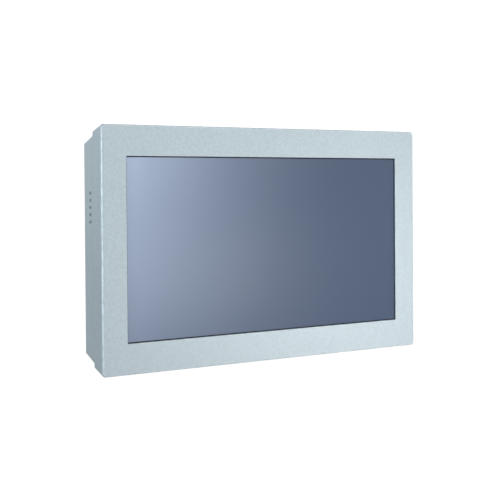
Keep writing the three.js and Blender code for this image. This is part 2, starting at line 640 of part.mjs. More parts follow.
function solidStateDrive() {
  const [width, depth, height] = DRIVE_SIZE;
  const x = -sideX(width);
  const front = CHASSIS_BACK_Y + SEAT;
  return box(x - width / 2, x + width / 2, front, front + depth, -height / 2, height / 2);
}

// ---------------------------------------------------------------------------------------------------------
// Connectors. Each is drawn with its port facing down, centred on x = 0, with z = 0 on the connector
// plate's outer face. A board socket's front side is at y = 0, and a panel fitting is centred on y = 0.

const SOCKET_BACK = 18; // socket body above the connector plate's outer face
const NETWORK = { width: 16, depth: 13.4, port: [11.8, 7.4], key: [6.4, 2], reach: 12 };
const USB = { width: 13.6, depth: 6.6, port: [12.2, 4.6], tongue: [10.8, 1.8], reach: 10 };
const VIDEO = { width: 18, depth: 7, port: [16.1, 4.9], tongue: [13, 1.9], reach: 9 };
const SERIAL = {
  flange: [31, 12.5, 0.8], shell: [17, 8.4], lean: 1.7, corner: 1, wall: 0.6, proud: 5.4,
  jack: 2.6, jackPitch: 25,
};
const SERIAL_PINS = { radius: 0.5, pitch: 2.77, rows: [[5, -1.4], [4, 1.4]] };
const INLET = { thread: 8, bore: 5.8, nut: 11, nutHeight: 3, proud: 7, inside: 14, pin: 0.9, pinCircle: 3 };
const EARTH = { thread: 2.4, nut: 4.6, nutHeight: 4, proud: 7, inside: 10 };
const ROCKER = {
  length: 18.6, width: 12.4, depth: 7.6, rise: 1.6, waist: 0.4, heel: 1, pivotDepth: 2.4, pin: 1.1,
};
const ROCKER_FRAME = { wall: 1.5, rim: 2, rimHeight: 1.4, end: 0.75, depth: 12 };
const ROCKER_TILT = 7; // degrees to each side of level
const PORT_X = {
  rocker: -118, network1: -66, network2: -44, usb1: -22, usb2: -3, video: 20, serial: 58,
  inlet: 108, earth: 130,
};

function boardSocket({ width, depth, port, reach }, ...keys) {
  const [portWidth, portDepth] = port;
  const [front, back] = [(depth - portDepth) / 2, (depth + portDepth) / 2];
  const shell = box(-width / 2, width / 2, 0, depth, -SEAT, SOCKET_BACK);
  const mouth = box(-portWidth / 2, portWidth / 2, front, back, -PAST, reach);
  return cutBy(shell, joined(mouth, ...keys));
}

function networkSocket() {
  const [keyWidth, keyDepth] = NETWORK.key;
  const top = (NETWORK.depth + NETWORK.port[1]) / 2;
  const key = box(-keyWidth / 2, keyWidth / 2, top - PAST, top + keyDepth, -PAST, NETWORK.reach);
  return boardSocket(NETWORK, key);
}

function tongueSocket(kind) {
  const [width, depth] = kind.tongue;
  const middle = kind.depth / 2;
  const [front, back] = [middle - depth / 2, middle + depth / 2];
  return joined(boardSocket(kind), box(-width / 2, width / 2, front, back, PAST, kind.reach + PAST));
}

function serialSocket() {
  const [flangeWidth, flangeDepth, flangeHeight] = SERIAL.flange;
  const [width, depth] = SERIAL.shell;
  const shellOutline = (wall) => {
    const [long, short] = [width / 2 - wall, width / 2 - wall - SERIAL.lean];
    const half = depth / 2 - wall;
    const corners = [[-long, -half], [long, -half], [short, half], [-short, half]];
    return outline(corners.map((corner) => [...corner, SERIAL.corner]));
  };
  const shell = cutBy(
    alongZ(shellOutline(0), -SERIAL.proud, 0),
    alongZ(shellOutline(SERIAL.wall), -SERIAL.proud - PAST, -flangeHeight),
  );
  const { radius, pitch, rows } = SERIAL_PINS;
  const pins = rows.flatMap(([count, y]) => Array.from({ length: count }, (_, i) => (
    barZ(radius, PAST - SERIAL.proud, 0, (i - (count - 1) / 2) * pitch, y, 6)
  )));
  const jacks = [-1, 1].map((side) => (
    barZ(SERIAL.jack, -SERIAL.proud, 0, (side * SERIAL.jackPitch) / 2, 0, 6)
  ));
  const flange = box(
    -flangeWidth / 2, flangeWidth / 2, -flangeDepth / 2, flangeDepth / 2, -flangeHeight - SEAT, -SEAT,
  );
  const body = box(-width / 2, width / 2, -depth / 2, depth / 2, -flangeHeight, SOCKET_BACK);
  return joined(flange, body, shell, ...pins, ...jacks);
}

// Threaded round inlet with its ring nut outside the plate and four pins in its bore.
function powerInlet() {
  const barrel = cutBy(
    joined(
      barZ(INLET.thread, -INLET.proud, INLET.inside, 0, 0),
      barZ(INLET.nut, -INLET.nutHeight - SEAT, -SEAT, 0, 0, 6),
    ),
    barZ(INLET.bore, -INLET.proud - PAST, 0, 0, 0),
  );
  const pins = Array.from({ length: 4 }, (_, i) => {
    const angle = Math.PI * (i / 2 + 1 / 4);
    const [x, y] = [INLET.pinCircle * Math.cos(angle), INLET.pinCircle * Math.sin(angle)];
    return barZ(INLET.pin, PAST - INLET.proud, PAST, x, y, 8);
  });
  return joined(barrel, ...pins);
}

const earthStud = () => joined(
  barZ(EARTH.thread, -EARTH.proud, EARTH.inside, 0, 0),
  barZ(EARTH.nut, -EARTH.nutHeight, -SEAT, 0, 0, 6),
);

const rockerHalf = () => [ROCKER.length / 2 + ROCKER_FRAME.end, ROCKER.width / 2 + FIT];

// The switch body: a snap-in box with a rim outside the plate, open below for the rocker.
function rockerFrame() {
  const [x, y] = rockerHalf();
  const [outX, outY] = [x + ROCKER_FRAME.wall, y + ROCKER_FRAME.wall];
  const rim = ROCKER_FRAME.rim;
  const floor = ROCKER_FRAME.depth - ROCKER_FRAME.wall;
  return cutBy(
    joined(
      box(-outX, outX, -outY, outY, -SEAT, ROCKER_FRAME.depth),
      alongZ(rectangle(-outX - rim, outX + rim, -outY - rim, outY + rim, rim), -ROCKER_FRAME.rimHeight, -SEAT),
    ),
    box(-x, x, -y, y, -ROCKER_FRAME.rimHeight - PAST, floor),
    barY(ROCKER.pin + FIT, -outY - PAST, outY + PAST, 0, ROCKER.pivotDepth),
  );
}

// The rocker: a dished paddle on two pins, resting tilted to one side.
function rockerPaddle() {
  const end = ROCKER.length / 2;
  const heel = end - ROCKER.heel;
  const face = new THREE.Shape([
    [-end, -ROCKER.rise], [0, -ROCKER.waist], [end, -ROCKER.rise], [end, 0],
    [heel, ROCKER.depth], [-heel, ROCKER.depth], [-end, 0],
  ].map(([x, z]) => new THREE.Vector2(x, z)));
  const pinEnd = rockerHalf()[1] + ROCKER_FRAME.wall - FIT;
  return joined(
    alongY(face, -ROCKER.width / 2, ROCKER.width / 2),
    barY(ROCKER.pin, -pinEnd, pinEnd, 0, ROCKER.pivotDepth),
  );
}

// Where each fitting sits in the bay, and the hole it needs in the plate: [width, depth], or its radius.
function ports() {
  const board = (kind, x, build) => (
    { build, x, y: BOARD_PORT_Y, hole: [kind.width, kind.depth], middle: kind.depth / 2 }
  );
  const [serialWidth, serialDepth] = SERIAL.shell;
  const [rockerX, rockerY] = rockerHalf().map((half) => 2 * (half + ROCKER_FRAME.wall));
  return {
    power_inlet: { build: powerInlet, x: PORT_X.inlet, y: PANEL_PORT_Y, round: INLET.thread },
    earth_stud: { build: earthStud, x: PORT_X.earth, y: PANEL_PORT_Y, round: EARTH.thread },
    rocker_frame: {
      build: rockerFrame, x: PORT_X.rocker, y: PANEL_PORT_Y, hole: [rockerX, rockerY], middle: 0,
    },
    network_socket_1: board(NETWORK, PORT_X.network1, networkSocket),
    network_socket_2: board(NETWORK, PORT_X.network2, networkSocket),
    usb_socket_1: board(USB, PORT_X.usb1, () => tongueSocket(USB)),
    usb_socket_2: board(USB, PORT_X.usb2, () => tongueSocket(USB)),
    video_socket: board(VIDEO, PORT_X.video, () => tongueSocket(VIDEO)),
    serial_socket: {
      build: serialSocket, x: PORT_X.serial, y: BOARD_PORT_Y + SERIAL.flange[1] / 2,
      hole: [serialWidth, serialDepth], middle: 0,
    },
  };
}

function ioPlate() {
  const half = BAY_WINDOW_WIDTH / 2 + IO_LAP_X;
  const [front, back] = [BAY_WINDOW_Y[0] - IO_LAP_Y, BAY_WINDOW_Y[1] + IO_LAP_Y];
  const through = [IO_FACE_Z - PAST, IO_TOP_Z + PAST];
  const holes = Object.values(ports()).map(({ x, y, hole, middle, round }) => {
    if (round) {
      return barZ(round + FIT, ...through, x, y);
    }
    const [halfX, halfY] = [hole[0] / 2 + FIT, hole[1] / 2 + FIT];
    return box(x - halfX, x + halfX, y + middle - halfY, y + middle + halfY, ...through);
  });
  return cutBy(box(-half, half, front, back, IO_FACE_Z, IO_TOP_Z), ...holes);
}

// ---------------------------------------------------------------------------------------------------------
// Side keys, drawn with x = 0 on the outside of the left wall and +X going in, centred on y = 0, z = 0.

function sideKey() {
  const collar = 2 * KEY_COLLAR;
  const inside = SHEET + FIT;
  const stem = new THREE.CylinderGeometry(KEY_STEM, KEY_STEM, KEY_STEM_LENGTH + PAST, ROUND_STEPS / 2);
  stem.rotateZ(Math.PI / 2).translate(KEY_STEM_END - (KEY_STEM_LENGTH + PAST) / 2, 0, 0);
  return joined(
    alongX(obround(KEY_LENGTH, KEY_HEIGHT), KEY_RECESS, inside + KEY_COLLAR_THICKNESS),
    alongX(obround(KEY_LENGTH + collar, KEY_HEIGHT + collar), inside, inside + KEY_COLLAR_THICKNESS),
    toSolid(stem),
  );
}

function sideSwitch() {
  const half = SWITCH_SIZE / 2;
  const body = SWITCH_X + SWITCH_BUTTON_HEIGHT;
  const reach = SWITCH_BUTTON_HEIGHT + PAST;
  const button = new THREE.CylinderGeometry(SWITCH_BUTTON, SWITCH_BUTTON, reach, ROUND_STEPS);
  button.rotateZ(Math.PI / 2).translate(SWITCH_X + reach / 2, 0, 0);
  return joined(box(body, body + SWITCH_HEIGHT, -half, half, -half, half), toSolid(button));
}

// The guide and the board run the length of the key row.
function keyRowPlate(x, thickness) {
  const reach = ((KEY_COUNT - 1) * KEY_PITCH) / 2 + KEY_END_MARGIN;
  const half = KEY_GUIDE_WIDTH / 2;
  return box(x, x + thickness, -half, half, -reach, reach);
}

function keyGuide() {
  const [radius, through] = [KEY_STEM + FIT, KEY_GUIDE_THICKNESS + 2 * PAST];
  const middle = KEY_GUIDE_X + KEY_GUIDE_THICKNESS / 2;
  const holes = keyPlaces().map((z) => {
    const hole = new THREE.CylinderGeometry(radius, radius, through, ROUND_STEPS).rotateZ(Math.PI / 2);
    return toSolid(hole.translate(middle, 0, z - KEY_MIDDLE_Z));
  });
  return cutBy(keyRowPlate(KEY_GUIDE_X, KEY_GUIDE_THICKNESS), ...holes);
}

// ---------------------------------------------------------------------------------------------------------
// Assembly.

const FINISHES = {
  powder_coat: { color: 0xbfc9cf, roughness: 0.55, metalness: 0.2 },
  zinc_sheet: { color: 0x9ba1a6, roughness: 0.4, metalness: 0.9 },
  steel_screw: { color: 0xa9adb0, roughness: 0.3, metalness: 1 },
  touch_glass: { color: 0x5a667e, roughness: 0.08, metalness: 0 },
  black_rubber: { color: 0x151617, roughness: 0.8, metalness: 0 },
  lcd_layer: { color: 0x2a303c, roughness: 0.3, metalness: 0 },
  clear_sheet: { color: 0xe8ecef, roughness: 0.2, metalness: 0 },
  circuit_board: { color: 0x1d4a34, roughness: 0.5, metalness: 0 },
  heat_aluminium: { color: 0xb9bcbf, roughness: 0.35, metalness: 1 },
  black_plastic: { color: 0x1b1c1e, roughness: 0.45, metalness: 0 },
  key_plastic: { color: 0x8a969c, roughness: 0.5, metalness: 0 },
  port_metal: { color: 0xb4b7ba, roughness: 0.25, metalness: 1 },
  label_foil: { color: 0xc9cccf, roughness: 0.4, metalness: 0.6 },
};

const panel = new THREE.Group();

function place(parent, name, finish, solid, position = [0, 0, 0]) {
  const mesh = new THREE.Mesh(toGeometry(solid), new THREE.MeshStandardMaterial(FINISHES[finish]));
  mesh.name = name;
  mesh.position.set(...position);
  parent.add(mesh);
}

function addDisplay() {
  const display = new THREE.Group();
  place(display, 'glass_gasket', 'black_rubber', glassGasket());
  place(display, 'touch_glass', 'touch_glass', touchGlass());
  place(display, 'lcd_tape', 'black_rubber', lcdTape());
  place(display, 'lcd_front_frame', 'zinc_sheet', lcdFrontFrame());
  place(display, 'lcd_cell', 'lcd_layer', lcdCell());
  place(display, 'diffuser_sheet', 'clear_sheet', diffuser());
  place(display, 'light_guide', 'clear_sheet', lightGuide());
  place(display, 'led_strip', 'circuit_board', ledStrip());
  place(display, 'lcd_rear_tray', 'zinc_sheet', lcdRearTray());
  place(display, 'lcd_bracket_left', 'zinc_sheet', lcdBracket(-1));
  place(display, 'lcd_bracket_right', 'zinc_sheet', lcdBracket(1));
  panel.add(display);
}

function addElectronics() {
  const electronics = new THREE.Group();
  place(electronics, 'chassis_plate', 'zinc_sheet', chassisPlate());
  place(electronics, 'main_board', 'circuit_board', mainBoard());
  place(electronics, 'power_board', 'circuit_board', powerBoard());
  place(electronics, 'touch_controller_board', 'circuit_board', touchBoard());
  place(electronics, 'led_driver_board', 'circuit_board', driverBoard());
  place(electronics, 'heat_block', 'heat_aluminium', heatBlock());
  place(electronics, 'memory_module', 'circuit_board', memoryModule());
  place(electronics, 'solid_state_drive', 'heat_aluminium', solidStateDrive());
  panel.add(electronics);
}

function addCasing() {
  const casing = new THREE.Group();
  place(casing, 'front_bezel', 'powder_coat', frontBezel());
  place(casing, 'rear_housing', 'powder_coat', rearHousing());
  place(casing, 'cover_gasket', 'black_rubber', coverGasket());
  place(casing, 'rear_cover', 'powder_coat', rearCover());
  place(casing, 'mount_plate', 'zinc_sheet', mountPlate());
  place(casing, 'rating_label', 'label_foil', ratingLabel());
  coverScrewPlaces().forEach(([x, z], i) => {
    place(casing, `cover_screw_${i + 1}`, 'steel_screw', coverScrew(), [x, COVER_Y, z]);
  });
  const [ventX, ventZ] = ventPlace();
  place(casing, 'breather_vent', 'black_plastic', breatherVent(), [ventX, HOUSING_BACK_Y, ventZ]);
  panel.add(casing);
}

function addPorts() {
  const bay = new THREE.Group();
  bay.position.z = IO_FACE_Z;
  const finishes = { rocker_frame: 'black_plastic' };
  Object.entries(ports()).forEach(([name, { build, x, y }]) => {
    place(bay, name, finishes[name] ?? 'port_metal', build(), [x, y, 0]);
  });
  const rest = new THREE.Group();
  const { x, y } = ports().rocker_frame;
  rest.position.set(x, y, ROCKER.pivotDepth);
  rest.rotation.y = THREE.MathUtils.degToRad(ROCKER_TILT);
  place(rest, 'rocker', 'black_plastic', rockerPaddle(), [0, 0, -ROCKER.pivotDepth]);
  bay.add(rest);
  place(panel, 'io_plate', 'zinc_sheet', ioPlate());
  panel.add(bay);
}

function addSideKeys() {
  const row = new THREE.Group();
  row.position.set(-WIDTH / 2, KEY_Y, KEY_MIDDLE_Z);
  keyPlaces().forEach((z, i) => {
    const position = [0, 0, z - KEY_MIDDLE_Z];
    place(row, `side_key_${i + 1}`, 'key_plastic', sideKey(), position);
    place(row, `key_switch_${i + 1}`, 'black_plastic', sideSwitch(), position);
  });
  place(row, 'key_guide', 'black_plastic', keyGuide());
  place(row, 'key_board', 'circuit_board', keyRowPlate(OSD_BOARD_X, BOARD_THICKNESS));
  panel.add(row);
}

addCasing();
addDisplay();
addElectronics();
addPorts();
addSideKeys();

export default panel;
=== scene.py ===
"""Industrial touch panel: the finished surfaces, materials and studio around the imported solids.

Metres. +X is right as seen from the front, +Y points out of the back, +Z is up.
"""

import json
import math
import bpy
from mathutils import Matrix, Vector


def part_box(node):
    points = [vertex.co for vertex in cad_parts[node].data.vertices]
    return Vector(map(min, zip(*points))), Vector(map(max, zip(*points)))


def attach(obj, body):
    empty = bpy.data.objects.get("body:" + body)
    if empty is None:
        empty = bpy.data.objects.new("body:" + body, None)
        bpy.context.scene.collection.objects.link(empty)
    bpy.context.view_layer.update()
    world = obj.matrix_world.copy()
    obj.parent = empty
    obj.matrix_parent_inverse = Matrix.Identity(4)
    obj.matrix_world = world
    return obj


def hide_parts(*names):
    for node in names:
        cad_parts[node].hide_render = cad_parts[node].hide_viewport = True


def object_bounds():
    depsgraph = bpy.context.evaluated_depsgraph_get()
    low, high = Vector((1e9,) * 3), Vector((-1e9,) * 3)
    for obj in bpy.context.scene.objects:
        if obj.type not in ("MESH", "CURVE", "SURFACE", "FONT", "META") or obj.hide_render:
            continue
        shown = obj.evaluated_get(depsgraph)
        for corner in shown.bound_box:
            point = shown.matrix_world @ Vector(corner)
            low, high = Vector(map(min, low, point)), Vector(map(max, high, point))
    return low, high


bl_info = {
    "name": "Touch Panel",
    "version": (1, 0, 0),
    "blender": (4, 5, 0),
    "location": "3D Viewport > Sidebar > Panel",
    "description": "Builds the finished surfaces of an industrial touch panel",
    "category": "Object",
}

import bmesh
import bpy
import numpy as np

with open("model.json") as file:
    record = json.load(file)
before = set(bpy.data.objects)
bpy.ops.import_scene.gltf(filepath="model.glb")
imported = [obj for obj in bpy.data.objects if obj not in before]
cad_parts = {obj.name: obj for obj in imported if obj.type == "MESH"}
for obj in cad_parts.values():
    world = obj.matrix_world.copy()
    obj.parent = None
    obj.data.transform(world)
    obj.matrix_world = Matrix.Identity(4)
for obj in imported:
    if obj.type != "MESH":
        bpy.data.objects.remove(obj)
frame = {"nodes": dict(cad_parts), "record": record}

CAD_BOX = [list(corner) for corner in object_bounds()]
MM = 0.001
ARC_STEPS = 6  # faces across a rounded corner
ROUND_STEPS = 48  # faces round a turned piece
SHARP = math.radians(32)  # an edge with a wider turn is drawn sharp, or rolled over
FLAT = math.radians(0.5)  # neighbouring triangles that turn less than this lie in one flat
FADE = 0.8 * MM  # how far wear and the painted highlight on an edge reach onto the flat beside it
MERGE = 0.004 * MM  # points nearer than this are one
WINDOW_CORNER = 0.8 * MM  # radius in the corners of the window and its seal
SLIVER = 0.02 * MM  # keeps a slot's end radius just under half its width


# --------------------------------------------------------------------------------------------
# Places taken from the solids.


def low(node):
    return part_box(node)[0]


def high(node):
    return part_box(node)[1]


def middle(node):
    return (low(node) + high(node)) / 2


def size(node):
    return high(node) - low(node)


# --------------------------------------------------------------------------------------------
# Settings.


def length(name, description, default, **more):
    return bpy.props.FloatProperty(
        name=name, description=description, default=default, unit="LENGTH", precision=5, **more
    )


def colour(name, description, default):
    return bpy.props.FloatVectorProperty(
        name=name, description=description, default=default, subtype="COLOR", size=3, min=0, max=1
    )


def factor(name, description, default):
    return bpy.props.FloatProperty(
        name=name, description=description, default=default, subtype="FACTOR", min=0, max=1
    )


def strength(name, description, default):
    return bpy.props.FloatProperty(name=name, description=description, default=default, min=0)


class PanelShapes(bpy.types.PropertyGroup):
    """Sizes of the finished surfaces that the solids leave open."""

    sheet: length("Sheet", "Thickness of the folded sheet", 2 * MM)
    lean: length("Lean", "How far the bezel's top and bottom lean in at the rear", 7.5 * MM)
    lap: length("Glass lap", "Glass hidden behind the front plate", 6 * MM)
    seal_side: length("Seal at the sides", "Seal seen inside the window's sides", 1.1 * MM)
    seal_top: length(
        "Seal above and below", "Seal seen inside the window's top and bottom", 1.7 * MM
    )
    fold: length("Fold radius", "Outside radius of the bezel's front folds", 3 * MM)
    corner: length("Corner radius", "Radius of the bezel's front corners", 5 * MM)
    edge: length("Edge radius", "Radius of a broken sheet edge", 0.35 * MM)
    window_edge: length("Window edge", "Radius round the display window", 0.7 * MM)
    rolled: length("Rolled edge", "Radius on the edges of the folded and pressed sheets", 0.45 * MM)
    moulded: length("Moulded edge", "Radius on the edges of moulded and stamped parts", 0.18 * MM)
    pressed: length("Pressed edge", "Radius on the edges of thin pressed shells", 0.1 * MM)
    crown: length("Key crown", "How far a side key's face bulges", 0.35 * MM)
    pitch: length("Thread pitch", "Pitch of the coarse threads", 1.25 * MM)


class PanelColours(bpy.types.PropertyGroup):
    """Colours of the finishes."""

    coat: colour("Powder coat", "Sand-texture powder coat", (0.515, 0.57, 0.59))
    screen: colour("Screen", "Display cell behind the glass, switched off", (0.053, 0.072, 0.122))
    # Colour of a painted reflection of a soft light, laid over the upper left of the screen glass
    painted_reflection: colour("Screen haze", "Bluish haze of the touch coating", (0.425, 0.485, 0.62))
    rubber: colour("Rubber", "Black foam and rubber", (0.012, 0.012, 0.013))
    zinc: colour("Zinc", "Zinc-plated sheet", (0.50, 0.52, 0.53))
    steel: colour("Steel", "Stainless screws and shells", (0.60, 0.61, 0.62))
    plastic: colour("Black plastic", "Moulded black plastic", (0.018, 0.019, 0.021))
    key: colour("Key", "Grey key caps", (0.23, 0.275, 0.30))
    mask: colour("Solder mask", "Green circuit boards", (0.012, 0.075, 0.04))
    foil: colour("Label foil", "Blank satin label", (0.62, 0.64, 0.65))
    gold: colour("Contact gold", "Gilt contacts and pins", (0.78, 0.58, 0.26))
    mark: colour("Print", "White marks on black plastic", (0.72, 0.73, 0.73))
    lamp: colour("Lamp lens", "Unlit amber and green port lamps", (0.30, 0.33, 0.08))


class PanelStage(bpy.types.PropertyGroup):
    """Camera and studio."""

    place: bpy.props.FloatVectorProperty(
        name="Camera place", description="Where the camera stands", unit="LENGTH", size=3,
        default=(-0.758, -1.3712, 0.0898),
    )
    azimuth: bpy.props.FloatProperty(
        name="Azimuth", description="How far the view turns from straight at the front",
        subtype="ANGLE", default=math.radians(29.11),
    )
    elevation: bpy.props.FloatProperty(
        name="Elevation", description="How far the view looks down", subtype="ANGLE",
        default=math.radians(0.8),
    )
    roll: bpy.props.FloatProperty(
        name="Roll", description="Camera roll", subtype="ANGLE", default=math.radians(0.4)
    )
    lens: bpy.props.FloatProperty(
        name="Lens", description="Focal length on a 36 mm sensor", default=69.54, min=10
    )
    shift: bpy.props.FloatProperty(name="Shift", description="Vertical lens shift", default=-0.1)
    hang: length("Hanging height", "How far the panel hangs above the floor", 0.25)
    daylight: strength("Daylight", "Strength of the even light from all round", 1.28)
    key: strength("Key light", "Power of the large soft light on the right", 0.6)
    card: strength("Card light", "Power of the soft light above the left of the front", 4.8)
    low: strength("Low light", "Power of the small light near the floor", 2.6)
    fill: strength("Fill light", "Power of the narrow light that draws the left fold", 26.0)
    rear: strength("Rear light", "Power of the soft light behind and above", 17.0)


def shapes():
    return bpy.context.scene.touch_panel_shapes


def colours():
    return bpy.context.scene.touch_panel_colours


def stage():
    return bpy.context.scene.touch_panel_stage


# --------------------------------------------------------------------------------------------
# Surfaces.


def filleted(points, radii, closed=False):
    """Rounds a path's corners. Each corner p with radius r becomes an arc about the point that
    lies r / sin(half angle) along the bisector, swept evenly from one tangent point to the
    other, with a point just outside each end where the flat has room. Works in any number of
    dimensions. Returns the points, and 1 where one is on an arc."""
    points = np.asarray(points, float)
    path, marks = [], []
    count = len(points)
    for i, radius in enumerate(radii):
        here = points[i]
        if not radius or (not closed and i in (0, count - 1)):
            path.append(here[None])
            marks.append([0.0])
            continue
        back = points[i - 1] - here
        ahead = points[(i + 1) % count] - here
        room = np.linalg.norm([back, ahead], axis=1)
        back, ahead = back / room[0], ahead / room[1]
        half = np.arccos(np.clip(back @ ahead, -1, 1)) / 2
        bisector = (back + ahead) / np.linalg.norm(back + ahead)
        centre = here + bisector * radius / np.sin(half)
        tangent = radius / np.tan(half)
        start = here + back * tangent - centre
        end = here + ahead * tangent - centre
        sweep = np.pi - 2 * half
        t = np.linspace(0, 1, ARC_STEPS + 1)[:, None]
        arc = (np.sin((1 - t) * sweep) * start + np.sin(t * sweep) * end) / np.sin(sweep)
        before = [start + back * FADE] * (room[0] > 3 * (tangent + FADE))
        after = [end + ahead * FADE] * (room[1] > 3 * (tangent + FADE))
        path.append(centre + np.array([*before, *arc, *after]))
        marks.append([*[0.0] * len(before), *[1.0] * len(arc), *[0.0] * len(after)])
    return np.concatenate(path), np.concatenate(marks)


def grid_faces(rows, columns, loop_rows):
    """Quads between neighbouring grid points, closed round the columns, and round the rows too
    where loop_rows is true."""
    last = rows if loop_rows else rows - 1
    row, column = np.meshgrid(np.arange(last), np.arange(columns), indexing="ij")
    row_next, column_next = (row + 1) % rows, (column + 1) % columns
    quads = np.stack(
        [row * columns + column, row_next * columns + column,
         row_next * columns + column_next, row * columns + column_next], -1
    )
    return quads.reshape(-1, 4).tolist()


def make_piece(name, points, faces, edge=None):
    """A mesh object from an array of points and a list of faces, smooth but for sharp turns,
    with its faces turned outwards and an edge attribute for wear and a painted highlight."""
    mesh = bpy.data.meshes.new(name)
    mesh.from_pydata(np.asarray(points).tolist(), [], faces)
    if edge is not None:
        layer = mesh.attributes.new("edge", "FLOAT", "POINT")
        layer.data.foreach_set("value", np.asarray(edge, np.float32))
    if signed_volume(mesh) < 0:
        mesh.flip_normals()
    mesh.polygons.foreach_set("use_smooth", [True] * len(mesh.polygons))
    mesh.set_sharp_from_angle(angle=SHARP)
    mesh.update()
    piece = bpy.data.objects.new(name, mesh)
    bpy.context.scene.collection.objects.link(piece)
    weights = piece.modifiers.new("Even shading", "WEIGHTED_NORMAL")
    weights.keep_sharp = True
    return piece


def signed_volume(mesh):
    """Volume by the divergence theorem: one sixth of the sum of a . (b x c) over triangles."""
    mesh.calc_loop_triangles()
    corners = np.array([t.vertices for t in mesh.loop_triangles])
    co = np.zeros(len(mesh.vertices) * 3)
    mesh.vertices.foreach_get("co", co)
    a, b, c = co.reshape(-1, 3)[corners].transpose(1, 0, 2)
    return np.einsum("ij,ij->", a, np.cross(b, c)) / 6


def turn_to(axis, u, v, w):
    """Places local (u, v, w): w along the axis, and v up where it can be. On "rows", v runs
    along X, and u up."""
    order = {"Y": (u, w, v), "-Z": (u, v, -w), "X": (w, u, v), "rows": (v, w, u)}[axis]
    return np.stack(np.broadcast_arrays(*order), -1)


def skin(name, u, v, w, centre, axis="Y", loop=False, edge=None):
    """A closed skin over a grid of points whose rows are closed rings. Its two ends are capped
    flat, unless the rows loop back to the first."""
    grid = turn_to(axis, u, v, w) + np.asarray(centre)
    rows, columns = grid.shape[:2]
    faces = grid_faces(rows, columns, loop)
    if not loop:
        last = range(rows * columns - 1, (rows - 1) * columns - 1, -1)
        faces += [list(range(columns)), list(last)]
    mark = None if edge is None else np.repeat(edge, columns)
    return make_piece(name, grid.reshape(-1, 3), faces, mark)


def ring_stack(name, rings, centre, axis="Y", loop=False, edge=None):
    """Rounded rectangles joined into a skin. A ring (a, b, r, w) is the rectangle of half sides
    a and b at height w: u = su (a - r) + r cos t and v = sv (b - r) + r sin t, with t running
    through a quarter turn in each corner, and su, sv its signs."""
    rings = np.asarray(rings, float)
    quarter = np.linspace(0, np.pi / 2, ARC_STEPS + 1)
    angle = (quarter + np.pi / 2 * np.arange(4)[:, None]).ravel()
    corner = np.repeat([[1, 1], [-1, 1], [-1, -1], [1, -1]], ARC_STEPS + 1, axis=0)
    a, b, r, w = (rings[:, i, None] for i in range(4))
    u = corner[:, 0] * (a - r) + r * np.cos(angle)
    v = corner[:, 1] * (b - r) + r * np.sin(angle)
    return skin(name, u, v, w, centre, axis, loop, edge)


def turned(name, profile, centre, axis="Y", lobes=0, loop=False):
    """A surface of revolution. Each profile row (r, w, d, h) is the ring of radius
    (r + d cos(lobes t)) (1 + h (hexagon(t) - 1)) at height w, where hexagon(t) is
    cos 30 / cos((t mod 60) - 30) in degrees, so h = 1 makes a hexagon of corner radius r.
    A row may leave out h, or both d and h, which are then 0."""
    profile = np.array([(*row, 0, 0)[:4] for row in profile], float)
    t = np.linspace(0, 2 * np.pi, ROUND_STEPS, endpoint=False)
    r, w, depth, hexed = (profile[:, i, None] for i in range(4))
    hexagon = np.cos(np.pi / 6) / np.cos(t % (np.pi / 3) - np.pi / 6)
    reach = (r + depth * np.cos(lobes * t)) * (1 + hexed * (hexagon - 1))
    return skin(name, reach * np.cos(t), reach * np.sin(t), w, centre, axis, loop)


def thread_cut(w, pitch, depth, t):
    """How deep a thread is cut at height w and angle t: depth (1 + cos(2 pi w / pitch - t)) / 2,
    so that its crests climb one pitch a turn."""
    return depth * (1 + np.cos(2 * np.pi * w / pitch - t)) / 2


def threaded(name, radius, depth, pitch, ends, centre, axis="Y"):
    """A threaded rod: its radius less the cut of its thread. Both ends taper in by one depth
    over half a pitch."""
    w = np.linspace(*ends, int(abs(ends[1] - ends[0]) / pitch * 8))[:, None]
    t = np.linspace(0, 2 * np.pi, ROUND_STEPS, endpoint=False)
    nearest_end = np.minimum(abs(w - ends[0]), abs(w - ends[1]))
    taper = depth * np.clip(1 - nearest_end / (pitch / 2), 0, 1)
    reach = radius - thread_cut(w, pitch, depth, t) - taper
    return skin(name, reach * np.cos(t), reach * np.sin(t), w, centre, axis)


def prism(name, corners, radii, levels, centre, axis="Y"):
    """An outline with rounded corners, carried through levels (inset, w): each inset moves the
    points towards the outline's middle in proportion to their distance from it."""
    line, _ = filleted(corners, radii, closed=True)
    reach = np.abs(line).max(axis=0)
    levels = np.asarray(levels, float)
    shrink = 1 - levels[:, :1, None] / reach
    ring = line * shrink
    return skin(name, ring[..., 0], ring[..., 1], levels[:, 1:], centre, axis)


def strips(name, path, places, width, thick, centre, axis="-Z"):
    """Parallel bent strips. The path (v, w) is moved along its normal by half the thickness
    to either side, and by half the width along u, which gives four corners a step."""
    path = np.asarray(path, float)
    along = np.gradient(path, axis=0)
    normal = np.stack([-along[:, 1], along[:, 0]], -1) / np.linalg.norm(along, axis=1)[:, None]
    side, lift = np.array([[-1, 1, 1, -1], [-1, -1, 1, 1]]) / 2
    places = np.asarray(places, float)[:, None, None]
    u = places + side * width + 0 * path[:, :1]
    v = path[:, :1] + normal[:, :1] * lift * thick + 0 * places
    w = path[:, 1:] + normal[:, 1:] * lift * thick + 0 * places
    points = turn_to(axis, u, v, w) + np.asarray(centre)
    count = len(path) * 4
    far = [count - 1, count - 2, count - 3, count - 4]
    one = grid_faces(len(path), 4, False) + [[0, 1, 2, 3], far]
    faces = (np.array(one) + count * np.arange(len(places))[:, None, None]).reshape(-1, 4)
    return make_piece(name, points.reshape(-1, 3), faces.tolist())


